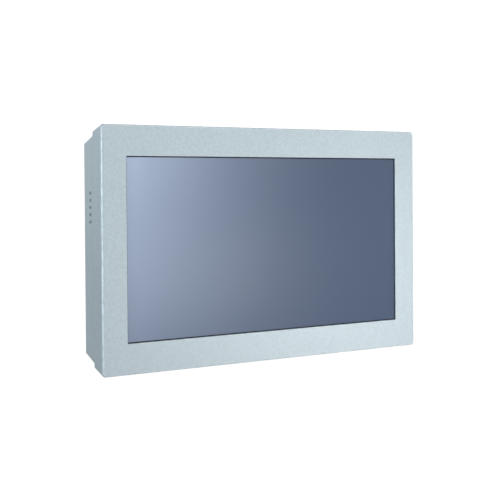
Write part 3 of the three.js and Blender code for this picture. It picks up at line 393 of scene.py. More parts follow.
def finer(node, name, radius):
    """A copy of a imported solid: its loose triangles merged, its flat areas joined, its sharp
    edges rolled over by a radius, and its curved areas smooth."""
    mesh = frame["nodes"][node].data.copy()
    mesh.name = name
    mesh.materials.clear()
    shape = bmesh.new()
    shape.from_mesh(mesh)
    bmesh.ops.remove_doubles(shape, verts=shape.verts, dist=MERGE)
    bmesh.ops.dissolve_limit(shape, angle_limit=FLAT, verts=shape.verts, edges=shape.edges)
    shape.to_mesh(mesh)
    shape.free()
    mesh.polygons.foreach_set("use_smooth", [True] * len(mesh.polygons))
    mesh.set_sharp_from_angle(angle=SHARP)
    piece = bpy.data.objects.new(name, mesh)
    bpy.context.scene.collection.objects.link(piece)
    roll = piece.modifiers.new("Rolled edges", "BEVEL")
    roll.width = radius
    roll.segments = 2
    roll.limit_method = "ANGLE"
    roll.angle_limit = SHARP
    weights = piece.modifiers.new("Even shading", "WEIGHTED_NORMAL")
    weights.keep_sharp = True
    return piece


def dome(base_radius, top_radius, low_w, high_w):
    """Profile rows of a quarter ellipse from (base_radius, low_w) over to (top_radius, high_w)."""
    t = np.linspace(0, np.pi / 2, ARC_STEPS + 1)
    r = top_radius + (base_radius - top_radius) * np.cos(t)
    w = low_w + (high_w - low_w) * np.sin(t)
    return np.stack([r, w], -1).tolist()


def nut_rows(radius, low_w, high_w):
    """Profile rows of a hexagon nut whose outer face is chamfered to its inscribed circle."""
    inscribed = radius * math.cos(math.pi / 6)
    chamfer = (radius - inscribed) / 2
    return [(radius, low_w, 0, 1), (radius, high_w - chamfer, 0, 1), (inscribed, high_w)]


# --------------------------------------------------------------------------------------------
# Shader groups.


class Graph:
    """Short calls for wiring one node tree."""

    def __init__(self, tree):
        self.tree = tree

    def node(self, kind, **settings):
        node = self.tree.nodes.new(kind)
        for key, value in settings.items():
            setattr(node, key, value)
        return node

    def link(self, source, target):
        self.tree.links.new(source, target)

    def feed(self, socket, value):
        """Links a socket to the value where it comes from a node, or else sets it."""
        if isinstance(value, bpy.types.NodeSocket):
            self.link(value, socket)
        else:
            socket.default_value = value

    def put(self, node, **values):
        """Feeds a node's inputs by name."""
        for key, value in values.items():
            self.feed(node.inputs[key.replace("_", " ")], value)
        return node

    def maths(self, operation, a, b, clamp=False):
        node = self.node("ShaderNodeMath", operation=operation, use_clamp=clamp)
        self.feed(node.inputs[0], a)
        self.feed(node.inputs[1], b)
        return node.outputs[0]

    def spread(self, value, low_in, high_in, low_out, high_out):
        """Maps a range onto another, and holds its ends."""
        node = self.node("ShaderNodeMapRange")
        ends = {"From_Min": low_in, "From_Max": high_in, "To_Min": low_out, "To_Max": high_out}
        return self.put(node, Value=value, **ends).outputs["Result"]

    def mix(self, share, a, b):
        """Mixes two colours."""
        node = self.node("ShaderNodeMix", data_type="RGBA")
        for index, value in ((0, share), (6, a), (7, b)):
            self.feed(node.inputs[index], value)
        return node.outputs[2]

    def shade(self, share, a, b):
        """Mixes two shaders."""
        node = self.node("ShaderNodeMixShader")
        for socket, source in zip(node.inputs, (share, a, b)):
            self.link(source, socket)
        return node.outputs[0]

    def noise(self, vector, scale, detail=2.0, rough=0.5):
        node = self.node("ShaderNodeTexNoise")
        self.put(node, Vector=vector, Scale=scale, Detail=detail, Roughness=rough)
        return node.outputs["Fac"]


def new_group(name, inputs, outputs):
    """A shader group that takes a vector and the named numbers, and puts out named numbers;
    with its input and output nodes."""
    tree = bpy.data.node_groups.new(name, "ShaderNodeTree")
    tree.interface.new_socket("Vector", in_out="INPUT", socket_type="NodeSocketVector")
    for label, default in inputs.items():
        socket = tree.interface.new_socket(label, in_out="INPUT", socket_type="NodeSocketFloat")
        socket.default_value = default
    for label in outputs:
        tree.interface.new_socket(label, in_out="OUTPUT", socket_type="NodeSocketFloat")
    return tree, tree.nodes.new("NodeGroupInput"), tree.nodes.new("NodeGroupOutput")


def grain_group():
    """Grain: fine and coarse noise for a coated or moulded skin, as a colour factor, a height
    and a slow drift."""
    tree, given, out = new_group(
        "Grain", {"Fine": 1500.0, "Coarse": 420.0, "Drift": 6.0}, ["Speckle", "Height", "Cloud"]
    )
    g = Graph(tree)
    vector = given.outputs["Vector"]
    fine = g.noise(vector, given.outputs["Fine"], 1.0)
    coarse = g.noise(vector, given.outputs["Coarse"], 2.0)
    cloud = g.noise(vector, given.outputs["Drift"], 3.0)
    mixed = g.maths("ADD", g.maths("MULTIPLY", fine, 0.45), g.maths("MULTIPLY", coarse, 0.55))
    g.link(g.spread(mixed, 0.35, 0.65, 0.0, 1.0), out.inputs["Speckle"])
    g.link(mixed, out.inputs["Height"])
    g.link(g.spread(cloud, 0.3, 0.7, 0.0, 1.0), out.inputs["Cloud"])
    return tree


def wear_and_sheen_group():
    """Wear and painted sheen: where the edge attribute is high, broken up by noise; and light
    scratches.
    """
    tree, given, out = new_group("Wear", {"Amount": 0.5}, ["Rubbed", "Scratch"])
    g = Graph(tree)
    edge = g.node("ShaderNodeAttribute", attribute_name="edge")
    patches = g.noise(given.outputs["Vector"], 90.0, 4.0, 0.65)
    # This edge mask brightens the coat: partly wear, partly a painted highlight along the folds
    rubbed_and_sheen = g.maths("MULTIPLY", edge.outputs["Fac"], g.spread(patches, 0.36, 0.6, 0.0, 1.0))
    g.link(g.maths("MULTIPLY", rubbed_and_sheen, given.outputs["Amount"], clamp=True), out.inputs["Rubbed"])
    streak = g.node("ShaderNodeMapping")
    g.link(given.outputs["Vector"], streak.inputs["Vector"])
    streak.inputs["Scale"].default_value = (30.0, 30.0, 900.0)
    lines = g.noise(streak.outputs["Vector"], 1.0, 3.0, 0.7)
    g.link(g.spread(lines, 0.66, 0.8, 0.0, 1.0), out.inputs["Scratch"])
    return tree


def brush_group():
    """Brush: long fine lines along X for rolled or brushed metal."""
    tree, given, out = new_group("Brush", {"Density": 1.0}, ["Lines", "Blotch"])
    g = Graph(tree)
    stretch = g.node("ShaderNodeMapping")
    g.link(given.outputs["Vector"], stretch.inputs["Vector"])
    stretch.inputs["Scale"].default_value = (40.0, 2400.0, 2400.0)
    lines = g.noise(stretch.outputs["Vector"], given.outputs["Density"], 2.0)
    g.link(lines, out.inputs["Lines"])
    g.link(g.noise(given.outputs["Vector"], 55.0, 4.0, 0.6), out.inputs["Blotch"])
    return tree


GROUPS = {"Grain": grain_group, "Wear": wear_and_sheen_group, "Brush": brush_group}


# --------------------------------------------------------------------------------------------
# Materials.


def new_material(name):
    """A material with its Principled shader, and a graph helper with Object coordinates."""
    material = bpy.data.materials.new(f"{name}_finish")
    material.use_nodes = True
    g = Graph(material.node_tree)
    shader = material.node_tree.nodes["Principled BSDF"]
    place = g.node("ShaderNodeTexCoord").outputs["Object"]
    return material, g, shader, place


def add_group(g, name, vector, **values):
    """Places a shader group, which is made the first time."""
    tree = bpy.data.node_groups.get(name) or GROUPS[name]()
    return g.put(g.node("ShaderNodeGroup", node_tree=tree), Vector=vector, **values)


def bump(g, shader, height, amount, distance):
    node = g.node("ShaderNodeBump")
    g.put(node, Strength=amount, Distance=distance, Height=height)
    g.link(node.outputs["Normal"], shader.inputs["Normal"])


def tone(base, scale):
    return (*(min(1.0, channel * scale) for channel in base), 1.0)


def powder_coat():
    """Silver-grey powder coat: a fine sand texture with bright and dark grains, slow drifts of
    tone, and edges rubbed a little smoother, and brighter with wear and a painted highlight."""
    material, g, shader, place = new_material("powder_coat")
    base = colours().coat
    grain = add_group(g, "Grain", place, Fine=3400.0, Coarse=430.0, Drift=5.0)
    wear_and_sheen = add_group(g, "Wear", place, Amount=0.6)
    paint = g.mix(grain.outputs["Speckle"], tone(base, 0.87), tone(base, 1.11))
    paint = g.mix(g.maths("MULTIPLY", grain.outputs["Cloud"], 0.3), paint, tone(base, 1.04))
    # Brighter on rounded edges: wear, and a painted highlight along the bezel's folds
    paint = g.mix(wear_and_sheen.outputs["Rubbed"], paint, tone(base, 1.4))
    g.link(paint, shader.inputs["Base Color"])
    rough = g.spread(grain.outputs["Speckle"], 0.0, 1.0, 0.42, 0.58)
    g.link(g.maths("SUBTRACT", rough, g.maths("MULTIPLY", wear_and_sheen.outputs["Rubbed"], 0.15)),
           shader.inputs["Roughness"])
    shader.inputs["Metallic"].default_value = 0.25
    shader.inputs["Coat Weight"].default_value = 0.12
    shader.inputs["Coat Roughness"].default_value = 0.3
    bump(g, shader, grain.outputs["Height"], 0.25, 0.0003)
    return material


def touch_glass():
    """Anti-glare touch glass over the dark cell: slate blue, paler towards the upper left with a
    painted reflection of a soft light, with faint wiping marks and a soft satin shine. The
    painted reflection is (share across) ^ 2.7 times (share up), from the lower right."""
    material, g, shader, place = new_material("touch_glass")
    split = g.node("ShaderNodeSeparateXYZ")
    g.link(place, split.inputs["Vector"])
    half = size("touch_glass") / 2
    across = g.spread(split.outputs["X"], 0.9 * half.x, -0.9 * half.x, 0.0, 1.0)
    rise = g.spread(split.outputs["Z"], -2.3 * half.z, half.z, 0.0, 1.0)
    drift = g.spread(g.noise(place, 3.0, 2.0, 0.5), 0.3, 0.7, 0.94, 1.06)
    # Painted reflection of a soft light: the glass is paler towards the upper left, over its real
    # satin shine
    corner = g.maths("MULTIPLY", g.maths("POWER", across, 2.7), rise)
    painted_reflection = g.maths("MULTIPLY", corner, drift, clamp=True)
    paint = g.mix(painted_reflection, (*colours().screen, 1.0), (*colours().painted_reflection, 1.0))
    g.link(paint, shader.inputs["Base Color"])
    wipe = add_group(g, "Wear", place, Amount=0.0)
    g.link(g.spread(wipe.outputs["Scratch"], 0.0, 1.0, 0.32, 0.36), shader.inputs["Roughness"])
    shader.inputs["IOR"].default_value = 1.52
    shader.inputs["Coat Weight"].default_value = 0.1
    shader.inputs["Coat Roughness"].default_value = 0.3
    return material


def rubber():
    """Black closed-cell foam: matte, with tiny pores."""
    material, g, shader, place = new_material("black_rubber")
    base = colours().rubber
    grain = add_group(g, "Grain", place, Fine=2600.0, Coarse=900.0)
    foam = g.mix(grain.outputs["Speckle"], tone(base, 0.7), tone(base, 1.6))
    g.link(foam, shader.inputs["Base Color"])
    g.link(g.spread(grain.outputs["Cloud"], 0.0, 1.0, 0.7, 0.85), shader.inputs["Roughness"])
    bump(g, shader, grain.outputs["Height"], 0.4, 0.0003)
    return material


def plated(name, base, rough_low, rough_high, density):
    """Rolled and plated metal: fine lines along X, and blotches in its shine."""
    material, g, shader, place = new_material(name)
    brush = add_group(g, "Brush", place, Density=density)
    shade = g.mix(brush.outputs["Lines"], tone(base, 0.86), tone(base, 1.1))
    g.link(g.mix(g.maths("MULTIPLY", brush.outputs["Blotch"], 0.4), shade, tone(base, 0.82)),
           shader.inputs["Base Color"])
    rough = g.spread(brush.outputs["Blotch"], 0.3, 0.7, rough_low, rough_high)
    g.link(rough, shader.inputs["Roughness"])
    shader.inputs["Metallic"].default_value = 1.0
    bump(g, shader, brush.outputs["Lines"], 0.12, 0.0001)
    return material


def moulded(name, base, rough):
    """Moulded plastic: a fine spark-eroded grain and a little polish on its edges."""
    material, g, shader, place = new_material(name)
    grain = add_group(g, "Grain", place, Fine=3200.0, Coarse=1400.0)
    wear_and_sheen = add_group(g, "Wear", place, Amount=0.5)
    paint = g.mix(grain.outputs["Speckle"], tone(base, 0.88), tone(base, 1.12))
    g.link(g.mix(wear_and_sheen.outputs["Rubbed"], paint, tone(base, 1.5)), shader.inputs["Base Color"])
    polish = g.spread(grain.outputs["Cloud"], 0.0, 1.0, rough - 0.06, rough + 0.06)
    g.link(polish, shader.inputs["Roughness"])
    bump(g, shader, grain.outputs["Height"], 0.25, 0.0002)
    return material


def circuit_board():
    """Solder mask over copper: pale tracks under green, in two directions."""
    material, g, shader, place = new_material("circuit_board")
    base = colours().mask
    tracks = g.node("ShaderNodeTexBrick", offset=0.5, squash=1.0)
    g.link(place, tracks.inputs["Vector"])
    g.put(tracks, Scale=90.0, Color1=tone(base, 0.8), Color2=tone(base, 1.25))
    g.put(tracks, Mortar=tone(base, 2.0), Mortar_Size=0.03)
    g.link(tracks.outputs["Color"], shader.inputs["Base Color"])
    grain = add_group(g, "Grain", place, Fine=2000.0, Coarse=700.0)
    g.link(g.spread(grain.outputs["Speckle"], 0.0, 1.0, 0.3, 0.45), shader.inputs["Roughness"])
    bump(g, shader, tracks.outputs["Fac"], 0.2, 0.00005)
    return material


def optical_sheet():
    """Milky optical sheet."""
    material, g, shader, place = new_material("clear_sheet")
    grain = add_group(g, "Grain", place)
    g.link(g.mix(grain.outputs["Cloud"], (0.78, 0.82, 0.84, 1.0), (0.86, 0.89, 0.9, 1.0)),
           shader.inputs["Base Color"])
    g.link(g.spread(grain.outputs["Cloud"], 0.0, 1.0, 0.18, 0.26), shader.inputs["Roughness"])
    return material


MADE = {}  # finishes by name, once they are made
METALS = {  # each finish's colour, lowest and highest roughness, and density of its lines
    "zinc_sheet": ("zinc", 0.28, 0.42, 1.0),
    "steel_screw": ("steel", 0.2, 0.34, 2.0),
    "heat_aluminium": ("steel", 0.3, 0.45, 0.7),
    "port_metal": ("steel", 0.16, 0.3, 2.0),
    "label_foil": ("foil", 0.3, 0.4, 1.5),
    "contact_gold": ("gold", 0.16, 0.26, 2.0),
}
MOULDINGS = {  # each finish's colour and roughness
    "black_plastic": ("plastic", 0.42),
    "key_plastic": ("key", 0.46),
    "lcd_layer": ("screen", 0.25),
    "mark_print": ("mark", 0.5),
    "label_ink": ("plastic", 0.55),
    "lamp_lens": ("lamp", 0.2),
}


def finishes():
    """Every finish by its slot name, made once."""
    if not MADE:
        MADE.update(
            powder_coat=powder_coat(), touch_glass=touch_glass(), black_rubber=rubber(),
            circuit_board=circuit_board(), clear_sheet=optical_sheet(),
        )
        for slot, (base, *values) in METALS.items():
            MADE[slot] = plated(slot, getattr(colours(), base), *values)
        for slot, (base, rough) in MOULDINGS.items():
            MADE[slot] = moulded(slot, getattr(colours(), base), rough)
    return MADE


def dress(piece, slot, body="casing", replaces=(), finish=None):
    """Gives a new piece its finish, its body and the nodes it stands for."""
    piece.data.materials.append(finishes()[finish or slot])
    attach(piece, body)
    if replaces:
        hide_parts(*replaces)
    return piece


# --------------------------------------------------------------------------------------------
# Operators.


class PieceOperator:
    """What the piece builders share."""

    bl_options = {"REGISTER", "UNDO"}


class OBJECT_OT_touch_panel_nodes(PieceOperator, bpy.types.Operator):
    """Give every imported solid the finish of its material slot"""

    bl_idname = "object.touch_panel_nodes"
    bl_label = "Solids"

    def execute(self, context):
        made = finishes()
        for part in frame["record"]["subparts"]:
            mesh = frame["nodes"][part["node"]].data
            mesh.materials.clear()
            mesh.materials.append(made[part["material_slot"]])
        return {"FINISHED"}


class OBJECT_OT_touch_panel_bezel(PieceOperator, bpy.types.Operator):
    """Bezel: one folded sheet with rounded folds, a broken window edge and rear lips"""

    bl_idname = "object.touch_panel_bezel"
    bl_label = "Bezel"

    def execute(self, context):
        s = shapes()
        t = s.sheet
        front, rear = low("front_bezel").y, high("front_bezel").y
        co = np.array([v.co for v in frame["nodes"]["front_bezel"].data.vertices])
        half_x = size("front_bezel").x / 2
        half_z = co[co[:, 1] > rear - MERGE, 2].max() + s.lean
        glass = size("touch_glass") / 2
        opening = (glass.x - s.lap, glass.z - s.lap, WINDOW_CORNER)
        lip = (half_x - t, size("rear_housing").z / 2 + 0.3 * MM, 1 * MM)

        def ring(inset, corner, depth):
            drop = s.lean * (depth - front) / (rear - front)
            return (half_x - inset, half_z - inset - drop, corner, depth)

        rings = [
            (*opening, front),
            ring(0, s.corner, front),
            ring(0, s.corner, rear),
            (*lip, rear),
            (*lip, rear - t),
            ring(t, 2 * MM, rear - t),
            ring(t, s.corner - t, front + t),
            (*opening, front + t),
        ]
        radii = [s.window_edge, s.fold, s.edge, s.edge, s.edge, 0.0, s.fold - t, 0.0]
        path, marks = filleted(rings, radii, closed=True)
        # Arc marks feed the coat's edge brightening: wear, and a painted highlight along the folds
        piece = ring_stack("bezel_skin", path, (0, 0, 0), loop=True, edge=marks)
        dress(piece, "powder_coat", replaces=["front_bezel"])
        return {"FINISHED"}


class OBJECT_OT_touch_panel_housing(PieceOperator, bpy.types.Operator):
    """Rear housing and pressed cover, with rolled sheet edges"""

    bl_idname = "object.touch_panel_housing"
    bl_label = "Housing and cover"

    def execute(self, context):
        s = shapes()
        for node, name, radius in (
            ("rear_housing", "housing_skin", s.edge), ("rear_cover", "cover_skin", s.rolled)
        ):
            dress(finer(node, name, radius), "powder_coat", replaces=[node])
        return {"FINISHED"}


class OBJECT_OT_touch_panel_display(PieceOperator, bpy.types.Operator):
    """Rubber seal round the window, with a rounded inner lip"""

    bl_idname = "object.touch_panel_display"
    bl_label = "Window seal"

    def execute(self, context):
        front, back = low("glass_gasket").y, high("glass_gasket").y
        outer = size("glass_gasket") / 2
        inner_x = outer.x - shapes().lap - shapes().seal_side
        inner_z = outer.z - shapes().lap - shapes().seal_top
        bead = (back - front) / 2.5
        rings = [
            (outer.x, outer.z, 2 * MM, front),
            (outer.x, outer.z, 2 * MM, back),
            (inner_x, inner_z, WINDOW_CORNER, back),
            (inner_x, inner_z, WINDOW_CORNER, front),
        ]
        path, marks = filleted(rings, [0.0, 0.0, bead, bead], closed=True)
        piece = ring_stack("window_seal", path, (0, 0, 0), loop=True, edge=marks)
        dress(piece, "black_rubber", replaces=["glass_gasket"])
        return {"FINISHED"}


class OBJECT_OT_touch_panel_screws(PieceOperator, bpy.types.Operator):
    """Button head cover screws with six-lobed sockets"""

    bl_idname = "object.touch_panel_screws"
    bl_label = "Cover screws"

    def execute(self, context):
        for i in range(8):
            node = f"cover_screw_{i + 1}"
            end, top = low(node).y, high(node).y
            base, head, shank = top - 2.2 * MM, size(node).x / 2, 2 * MM
            socket, lobe = 1.4 * MM, 0.22 * MM
            rows = [
                (shank - 0.4 * MM, end), (shank, end + 0.4 * MM), (shank, base),
                (head - 0.15 * MM, base), (head, base + 0.15 * MM),
                *dome(head, socket + 0.6 * MM, base + 0.5 * MM, top),
                (socket + 0.12 * MM, top, lobe, 0), (socket, top - 0.12 * MM, lobe, 0),
                (socket, top - 1.3 * MM, lobe, 0), (0.4 * MM, top - 1.6 * MM),
            ]
            place = middle(node)
            piece = turned(f"button_screw_{i + 1}", rows, (place.x, 0, place.z), lobes=6)
            dress(piece, "steel_screw", replaces=[node])
        return {"FINISHED"}


class OBJECT_OT_touch_panel_label(PieceOperator, bpy.types.Operator):
    """Satin label with a printed border and blank fields"""

    bl_idname = "object.touch_panel_label"
    bl_label = "Blank label"

    def execute(self, context):
        node = "rating_label"
        face, centre, half = high(node).y, middle(node), size(node) / 2
        soft = 0.12 * MM
        plate = [
            (half.x, half.z, 2 * MM, low(node).y), (half.x, half.z, 2 * MM, face - soft),
            (half.x - soft, half.z - soft, 1.9 * MM, face),
        ]
        piece = ring_stack("blank_label", plate, (centre.x, 0, centre.z))
        dress(piece, "label_foil", replaces=[node])
        ink = 0.03 * MM
        outer, inner = 1.6 * MM, 2.1 * MM
        corners = ((outer, -ink), (outer, ink), (inner, ink), (inner, -ink))
        border = [(half.x - inset, half.z - inset, 1 * MM, face + lift) for inset, lift in corners]
        frame_line = ring_stack("label_border", border, (centre.x, 0, centre.z), loop=True)
        dress(frame_line, "label_foil", finish="label_ink")
        span = half.x - inner
        fields = strips(
            "label_fields", [(-span, 0), (span, 0)], np.array([-0.5, 0.0, 0.45]) * half.z,
            0.35 * MM, 2 * ink, (centre.x, face, centre.z), "rows",
        )
        dress(fields, "label_foil", finish="label_ink")
        return {"FINISHED"}


class OBJECT_OT_touch_panel_breather(PieceOperator, bpy.types.Operator):
    """Breather plug: a hexagon flange, a ribbed cap and a rubber ring under it"""

    bl_idname = "object.touch_panel_breather"
    bl_label = "Breather plug"

    def execute(self, context):
        node = "breather_vent"
        place, top = middle(node), high(node).y
        seat = high("rear_housing").y
        flange, cap = size(node).x / 2, 5.8 * MM
        rows = [
            (cap - 0.6 * MM, low(node).y), (cap, low(node).y + 0.6 * MM), (cap, seat),
            *nut_rows(flange, seat + 0.5 * MM, seat + 2.6 * MM),
            (cap + 0.5 * MM, seat + 2.7 * MM), (cap, seat + 2.9 * MM, 0.16 * MM),
            (cap, top - 0.8 * MM, 0.16 * MM), (cap - 0.6 * MM, top - 0.2 * MM),
            (cap - 1.6 * MM, top), (2.2 * MM, top), (2.0 * MM, top - 0.4 * MM),
            (0.5 * MM, top - 0.5 * MM),
        ]
        plug = turned("breather_plug", rows, (place.x, 0, place.z), lobes=16)
        dress(plug, "black_plastic", replaces=[node])
        inner, outer = cap + 0.1 * MM, flange * 0.88
        ring = [(inner, seat + 0.1 * MM), (outer, seat + 0.1 * MM),
                (outer, seat + 0.45 * MM), (inner, seat + 0.45 * MM)]
        dress(turned("breather_seal", ring, (place.x, 0, place.z), loop=True), "black_rubber")
        return {"FINISHED"}


class OBJECT_OT_touch_panel_keys(PieceOperator, bpy.types.Operator):
    """Side keys: crowned caps with a collar behind the wall and a stem"""

    bl_idname = "object.touch_panel_keys"
    bl_label = "Side keys"

    def execute(self, context):
        collar, lip, stem = 0.9 * MM, 1 * MM, 1.5 * MM
        wall = low("rear_housing").x + shapes().sheet + 0.3 * MM
        t = np.linspace(0, np.pi / 2, ARC_STEPS + 1)
        inset = 1.2 * MM * (1 - np.cos(t))
        rise = shapes().crown * (1 - np.sin(t))
        for i in range(5):
            node = f"side_key_{i + 1}"
            face, end = low(node).x, high(node).x
            wide, tall = size(node).y / 2, size(node).z / 2
            a, b = wide - collar, tall - collar
            cap = np.stack([a - inset, b - inset, b - inset - SLIVER, face + rise], -1)
            rings = [
                (stem, stem, stem - SLIVER / 2, end), (stem, stem, stem - SLIVER / 2, wall + lip),
                (wide, tall, tall - SLIVER, wall + lip), (wide, tall, tall - SLIVER, wall),
                (a, b, b - SLIVER, wall), *cap,
            ]
            place = middle(node)
            piece = ring_stack(f"key_cap_{i + 1}", rings, (0, place.y, place.z), axis="X")
            dress(piece, "key_plastic", f"key_{i + 1}", replaces=[node])
        return {"FINISHED"}


class OBJECT_OT_touch_panel_bay(PieceOperator, bpy.types.Operator):
    """Connector plate and the small screws that hold it to the bay's roof"""

    bl_idname = "object.touch_panel_bay"
    bl_label = "Connector plate"

    def execute(self, context):
        plate = finer("io_plate", "connector_plate", shapes().moulded)
        dress(plate, "zinc_sheet", replaces=["io_plate"])
        roof = low("io_plate").z - shapes().sheet - 0.1 * MM
        reach = size("io_plate").x / 2
        back = high("io_plate").y + 1.2 * MM
        head, tall = 1.9 * MM, 1.1 * MM
        rows = [
            (head, 0), *dome(head, 1.2 * MM, 0.25 * MM, tall),
            (0.75 * MM, tall, 0.1 * MM), (0.7 * MM, tall - 0.1 * MM, 0.1 * MM),
            (0.7 * MM, 0.35 * MM, 0.1 * MM), (0.2 * MM, 0.25 * MM),
        ]
        for i, share in enumerate((-0.86, -0.3, 0.3, 0.86)):
            place = (share * reach, back, roof)
            screw = turned(f"plate_screw_{i + 1}", rows, place, "-Z", lobes=6)
            dress(screw, "steel_screw")
        return {"FINISHED"}


class OBJECT_OT_touch_panel_sockets(PieceOperator, bpy.types.Operator):
    """Network, serial and video sockets: rolled shells, gilt contacts and plastic tongues"""

    bl_idname = "object.touch_panel_sockets"
    bl_label = "Sockets"

    def execute(self, context):
        s = shapes()
        for node, radius, fill in (
            ("network_socket_1", s.moulded, self.network),
            ("network_socket_2", s.moulded, self.network),
            ("usb_socket_1", s.moulded, self.tongue),
            ("usb_socket_2", s.moulded, self.tongue),
            ("video_socket", s.moulded, self.tongue),
            ("serial_socket", s.pressed, self.serial),
        ):
            dress(finer(node, f"{node}_shell", radius), "port_metal", replaces=[node])
            fill(node)
        return {"FINISHED"}

    def network(self, node):
        """Eight sprung contacts along the port's front side, and two lamp lenses."""
        place, face = middle(node), low(node).z
        front = low(node).y + 3 * MM
        path = [(0.4, -11), (0.5, -8), (1.0, -6.4), (2.0, -4.2), (2.3, -3.4), (2.0, -2.8)]
        pitch, width, thick = 1.02 * MM, 0.42 * MM, 0.3 * MM
        wires = strips(
            f"{node}_contacts", np.array(path) * MM, (np.arange(8) - 3.5) * pitch, width, thick,
            (place.x, front, face),
        )
        dress(wires, "port_metal", finish="contact_gold")
        apart, behind, a, b = 5.6 * MM, 8.9 * MM, 1.5 * MM, 0.9 * MM
        for side in (-1, 1):
            lens = ring_stack(
                f"{node}_lamp_{'left' if side < 0 else 'right'}",
                [(a, b, 0.3 * MM, -0.5 * MM), (a, b, 0.3 * MM, 0.12 * MM),
                 (a - 0.2 * MM, b - 0.2 * MM, 0.2 * MM, 0.25 * MM)],
                (place.x + side * apart, front + behind, face), "-Z",
            )
            dress(lens, "clear_sheet", finish="lamp_lens")

    def tongue(self, node):
        """A plastic tongue round the shell's own, with contacts on its two faces."""
        place, face = middle(node), low(node).z
        wide = node == "video_socket"
        a, b = (6.6 * MM, 1.05 * MM) if wide else (5.5 * MM, 1.0 * MM)
        deep, tip = -(9 if wide else 10) * MM, -0.9 * MM
        soft = 0.2 * MM
        rings = [(a, b, soft, deep), (a, b, soft, tip - soft), (a - soft, b - soft, 0.1 * MM, tip)]
        sleeve = ring_stack(f"{node}_tongue", rings, (place.x, place.y, face), "-Z")
        dress(sleeve, "black_plastic")
        count, pitch = (10, 1.1 * MM) if wide else (4, 2.3 * MM)
        width = 0.5 * MM if wide else 1.0 * MM
        places = (np.arange(count) - (count - 1) / 2) * pitch
        for label, side in (("front", -1), ("back", 1)):
            path = [(side * b, deep), (side * b, tip - 1.4 * MM), (side * b, tip - 0.8 * MM)]
            gilt = strips(f"{node}_contacts_{label}", path, places, width, 0.1 * MM,
                          (place.x, place.y, face))
            dress(gilt, "port_metal", finish="contact_gold")

    def serial(self, node):
        """The black insulator behind the pins, and a socket cap on each jack screw."""
        place = middle(node)
        plate = low("io_plate").z
        corners = np.array([(-7.7, -3.4), (7.7, -3.4), (6.1, 3.4), (-6.1, 3.4)]) * MM
        block = prism("serial_insulator", corners, [0.8 * MM] * 4,
                      [(0.0, 0.5 * MM), (0.0, 1.3 * MM), (0.15 * MM, 1.45 * MM)],
                      (place.x, place.y, plate), "-Z")
        dress(block, "black_plastic")
        apart, top, bore = 12.5 * MM, 5.5 * MM, 1.3 * MM
        rows = [*nut_rows(2.75 * MM, 1.0 * MM, top), (bore + 0.2 * MM, top),
                (bore, top - 0.2 * MM), (bore, 2.5 * MM), (0.3 * MM, 2.2 * MM)]
        for side in (-1, 1):
            jack = turned(f"serial_jack_{'left' if side < 0 else 'right'}", rows,
                          (place.x + side * apart, place.y, plate), "-Z")
            dress(jack, "steel_screw")


class OBJECT_OT_touch_panel_inlet(PieceOperator, bpy.types.Operator):
    """Threaded power inlet with four pins, and the earth stud with its nut and washer"""

    bl_idname = "object.touch_panel_inlet"
    bl_label = "Inlet and earth stud"

    def execute(self, context):
        plate = low("io_plate").z
        self.inlet("power_inlet", plate)
        self.earth("earth_stud", plate)
        return {"FINISHED"}

    def inlet(self, node, plate):
        place = middle(node)
        centre = (place.x, place.y, plate)
        proud, inside = plate - low(node).z, high(node).z - plate
        barrel, bore, nut = 8 * MM, 5.8 * MM, size(node).x / 2
        t = np.linspace(0, 2 * np.pi, ROUND_STEPS, endpoint=False)
        out = np.linspace(-inside, proud - 0.3 * MM, 100)[:, None]
        outside = barrel - thread_cut(out, shapes().pitch * 0.8, 0.35 * MM, t)
        hole = np.array([(bore + 0.5 * MM, proud), (bore, proud - 0.4 * MM), (bore, 0.6 * MM),
                         (bore - 0.4 * MM, 0.4 * MM)])
        reach = np.concatenate([outside, hole[:, :1] + 0 * t])
        height = np.concatenate([out, hole[:, 1:]])
        shell = skin("inlet_barrel", reach * np.cos(t), reach * np.sin(t), height, centre, "-Z")
        dress(shell, "port_metal", replaces=[node])
        ring = [(barrel - 0.2 * MM, 0.1 * MM), *nut_rows(nut, 0.1 * MM, 3.1 * MM),
                (barrel - 0.2 * MM, 3.1 * MM)]
        dress(turned("inlet_nut", ring, centre, "-Z", loop=True), "port_metal")
        block = [(bore - 0.1 * MM, 0.5 * MM), (bore - 0.1 * MM, 2.1 * MM),
                 (bore - 0.4 * MM, 2.3 * MM), (bore - 1.2 * MM, 2.3 * MM),
                 (0.5 * MM, 2.2 * MM)]
        dress(turned("inlet_insulator", block, centre, "-Z"), "black_plastic")
        circle, thick = 3 * MM, 0.75 * MM
        rows = [(thick, 1.8 * MM), *dome(thick, 0.15 * MM, 5.0 * MM, 5.7 * MM)]
        for i, turn in enumerate(np.pi / 4 + np.pi / 2 * np.arange(4)):
            spot = (place.x + circle * math.cos(turn), place.y + circle * math.sin(turn), plate)
            pin = turned(f"inlet_pin_{i + 1}", rows, spot, "-Z")
            dress(pin, "port_metal", finish="contact_gold")

    def earth(self, node, plate):
        place = middle(node)
        centre = (place.x, place.y, plate)
        proud, inside = plate - low(node).z, high(node).z - plate
        stud, nut = 2.4 * MM, size(node).x / 2
        pitch = shapes().pitch * 0.64
        rod = threaded("earth_thread", stud, 0.3 * MM, pitch, (-inside, proud), centre, "-Z")
        dress(rod, "steel_screw", replaces=[node])
        ring = [(stud - 0.3 * MM, 0.7 * MM), *nut_rows(nut, 0.7 * MM, 4.0 * MM),
                (stud + 0.3 * MM, 4.0 * MM), (stud - 0.3 * MM, 3.6 * MM)]
        dress(turned("earth_nut", ring, centre, "-Z", loop=True), "steel_screw")
        teeth = [(stud + 0.1 * MM, 0.1 * MM), (nut - 0.1 * MM, 0.1 * MM, 0.22 * MM),
                 (nut - 0.1 * MM, 0.6 * MM, 0.22 * MM), (stud + 0.1 * MM, 0.6 * MM)]
        washer = turned("earth_washer", teeth, centre, "-Z", lobes=12, loop=True)
        dress(washer, "steel_screw")


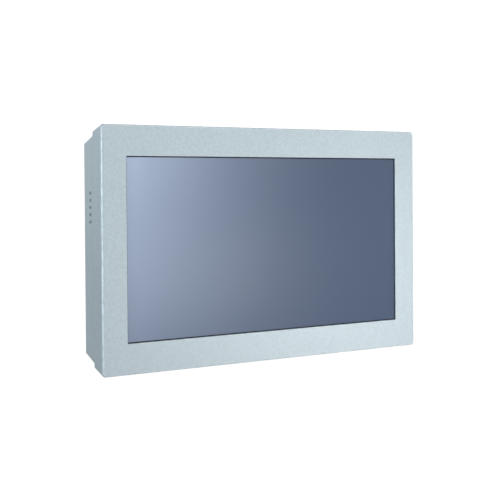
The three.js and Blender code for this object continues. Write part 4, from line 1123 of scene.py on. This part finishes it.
class OBJECT_OT_touch_panel_rocker(PieceOperator, bpy.types.Operator):
    """Rocker switch: frame, paddle, and the on and off marks moulded into the paddle"""

    bl_idname = "object.touch_panel_rocker"
    bl_label = "Rocker switch"

    def execute(self, context):
        radius = shapes().moulded
        surround = finer("rocker_frame", "switch_frame", radius)
        dress(surround, "black_plastic", replaces=["rocker_frame"])
        paddle = finer("rocker", "switch_paddle", 2 * radius)
        dress(paddle, "black_plastic", "rocker", replaces=["rocker"])
        self.mark("off", -1)
        self.mark("on", 1)
        return {"FINISHED"}

    def mark(self, label, side):
        """A ring, or a bar with round corners, lying on one half of the paddle: points at a
        distance along the half, and below the pivot by the face's depth there, all turned by
        the paddle's rest tilt."""
        joints = frame["record"]["behaviour"]["joints"]
        pivot = next(joint["pos_m"] for joint in joints if joint["name"] == "rocker_tilt")
        t = np.linspace(0, 2 * np.pi, ROUND_STEPS, endpoint=False)
        sunk, proud = -0.2 * MM, 0.06 * MM
        if label == "off":
            reach = np.array([[1.9], [1.9], [1.3], [1.3]]) * MM
            u, v = reach * np.cos(t), reach * np.sin(t)
            out = np.array([[sunk], [proud], [proud], [sunk]])
        else:
            corner = 0.2
            u = 0.35 * MM * np.sign(np.cos(t)) * np.abs(np.cos(t)) ** corner * np.ones((2, 1))
            v = 1.9 * MM * np.sign(np.sin(t)) * np.abs(np.sin(t)) ** corner * np.ones((2, 1))
            out = np.array([[sunk], [proud]])
        halfway, depth, slope, tilt = 4.6 * MM, 2.8 * MM, 1.2 / 9.3, math.radians(7)
        along = side * halfway + u
        below = depth + slope * np.abs(along) + out
        x = pivot[0] + along * math.cos(tilt) - below * math.sin(tilt)
        z = pivot[2] - along * math.sin(tilt) - below * math.cos(tilt)
        piece = skin(f"mark_{label}", x, z, pivot[1] + v, (0, 0, 0), "Y", loop=label == "off")
        dress(piece, "black_plastic", "rocker", finish="mark_print")


WHITE = (1.0, 1.0, 1.0)
PURE_WHITE = 1.1  # strength at which a surface or the world reads as white to the camera
SOFTBOXES = {  # each light's place, sides, tint, and the rays that don't meet it
    "key": ((2.6, -0.9, 0.5), (1.2, 1.2), WHITE, ()),
    "card": ((0.15, -1.9, 0.9), (0.6, 0.6), WHITE, ()),
    "low": ((0.26, -0.66, -0.12), (0.4, 0.1), WHITE, ("visible_glossy",)),
    "fill": ((-1.9, -0.75, 0.0), (0.3, 1.2), (0.78, 0.92, 1.0), ("visible_diffuse",)),
    "rear": ((0.7, 2.2, 1.1), (1.6, 1.6), WHITE, ()),
}


class OBJECT_OT_touch_panel_stage(PieceOperator, bpy.types.Operator):
    """Floor, soft lights and the camera"""

    bl_idname = "object.touch_panel_stage"
    bl_label = "Stage"

    def execute(self, context):
        self.camera()
        self.floor()
        self.lights()
        self.world()
        return {"FINISHED"}

    def camera(self):
        s = stage()
        data = bpy.data.cameras.new("camera")
        data.lens = s.lens
        data.sensor_width = 36.0
        data.shift_y = s.shift
        camera = bpy.data.objects.new("camera", data)
        camera.location = s.place
        camera.rotation_mode = "XYZ"
        camera.rotation_euler = (math.pi / 2 - s.elevation, s.roll, -s.azimuth)
        bpy.context.scene.collection.objects.link(camera)
        bpy.context.scene.camera = camera

    def floor(self):
        """Pale, nearly white to the camera, and clear from below."""
        reach = 12.0
        level = CAD_BOX[0][2] - stage().hang
        corners = [(x * reach, y * reach, level) for x, y in ((-1, -1), (1, -1), (1, 1), (-1, 1))]
        mesh = bpy.data.meshes.new("floor")
        mesh.from_pydata(corners, [], [(0, 1, 2, 3)])
        floor = bpy.data.objects.new("floor", mesh)
        bpy.context.scene.collection.objects.link(floor)
        material, g, shader, place = new_material("floor")
        g.link(g.mix(g.noise(place, 2.0), (0.42, 0.425, 0.43, 1.0), (0.46, 0.46, 0.46, 1.0)),
               shader.inputs["Base Color"])
        shader.inputs["Roughness"].default_value = 0.9
        glow = g.node("ShaderNodeEmission")
        glow.inputs["Strength"].default_value = PURE_WHITE
        seen = g.maths("MULTIPLY", g.node("ShaderNodeLightPath").outputs["Is Camera Ray"], 0.92)
        above = g.shade(seen, shader.outputs[0], glow.outputs[0])
        clear = g.node("ShaderNodeBsdfTransparent").outputs[0]
        under = g.node("ShaderNodeNewGeometry").outputs["Backfacing"]
        end = material.node_tree.nodes["Material Output"]
        g.link(g.shade(under, above, clear), end.inputs["Surface"])
        mesh.materials.append(material)

    def lights(self):
        """Soft rectangles that face the origin."""
        for name, (place, sides, tint, unseen) in SOFTBOXES.items():
            data = bpy.data.lights.new(name, "AREA")
            data.shape = "RECTANGLE"
            data.size, data.size_y = sides
            data.energy = getattr(stage(), name)
            data.color = tint
            light = bpy.data.objects.new(name, data)
            light.location = place
            light.rotation_euler = (-light.location).to_track_quat("-Z", "Y").to_euler()
            for rays in unseen:
                setattr(light, rays, False)
            bpy.context.scene.collection.objects.link(light)

    def world(self):
        """White to the camera, and to everything else a grey light that is dimmer overhead."""
        world = bpy.data.worlds.new("studio")
        bpy.context.scene.world = world
        world.use_nodes = True
        g = Graph(world.node_tree)
        seen = world.node_tree.nodes["Background"]
        seen.inputs["Color"].default_value = (1.0, 1.0, 1.0, 1.0)
        seen.inputs["Strength"].default_value = PURE_WHITE
        light = g.node("ShaderNodeBackground")
        light.inputs["Color"].default_value = (0.87, 0.965, 1.03, 1.0)
        split = g.node("ShaderNodeSeparateXYZ")
        g.link(g.node("ShaderNodeTexCoord").outputs["Generated"], split.inputs["Vector"])
        level = stage().daylight
        g.link(g.spread(split.outputs["Z"], 0.1, 0.9, level, 0.2 * level), light.inputs["Strength"])
        camera_ray = g.node("ShaderNodeLightPath").outputs["Is Camera Ray"]
        both = g.shade(camera_ray, light.outputs[0], seen.outputs[0])
        g.link(both, world.node_tree.nodes["World Output"].inputs["Surface"])
        bpy.context.scene.view_settings.view_transform = "Standard"


BUILDERS = (
    OBJECT_OT_touch_panel_nodes,
    OBJECT_OT_touch_panel_bezel,
    OBJECT_OT_touch_panel_housing,
    OBJECT_OT_touch_panel_display,
    OBJECT_OT_touch_panel_screws,
    OBJECT_OT_touch_panel_label,
    OBJECT_OT_touch_panel_breather,
    OBJECT_OT_touch_panel_keys,
    OBJECT_OT_touch_panel_bay,
    OBJECT_OT_touch_panel_sockets,
    OBJECT_OT_touch_panel_inlet,
    OBJECT_OT_touch_panel_rocker,
    OBJECT_OT_touch_panel_stage,
)


class VIEW3D_PT_touch_panel(bpy.types.Panel):
    """Touch panel builders and their settings"""

    bl_label = "Touch Panel"
    bl_space_type = "VIEW_3D"
    bl_region_type = "UI"
    bl_category = "Panel"

    def draw(self, context):
        layout = self.layout
        for settings in (shapes(), colours(), stage()):
            box = layout.box()
            for key in settings.bl_rna.properties.keys():
                if key not in {"rna_type", "name"}:
                    box.prop(settings, key)
        for builder in BUILDERS:
            layout.operator(builder.bl_idname)


SETTINGS = (PanelShapes, PanelColours, PanelStage)
CLASSES = (*SETTINGS, *BUILDERS, VIEW3D_PT_touch_panel)


def register():
    for cls in CLASSES:
        bpy.utils.register_class(cls)
    for name, cls in zip(("shapes", "colours", "stage"), SETTINGS):
        setattr(bpy.types.Scene, f"touch_panel_{name}", bpy.props.PointerProperty(type=cls))


def unregister():
    for name in ("shapes", "colours", "stage"):
        delattr(bpy.types.Scene, f"touch_panel_{name}")
    for cls in reversed(CLASSES):
        bpy.utils.unregister_class(cls)


def main():
    register()
    for builder in BUILDERS:
        getattr(bpy.ops.object, builder.bl_idname.split(".")[1])()


if __name__ == "__main__":
    main()
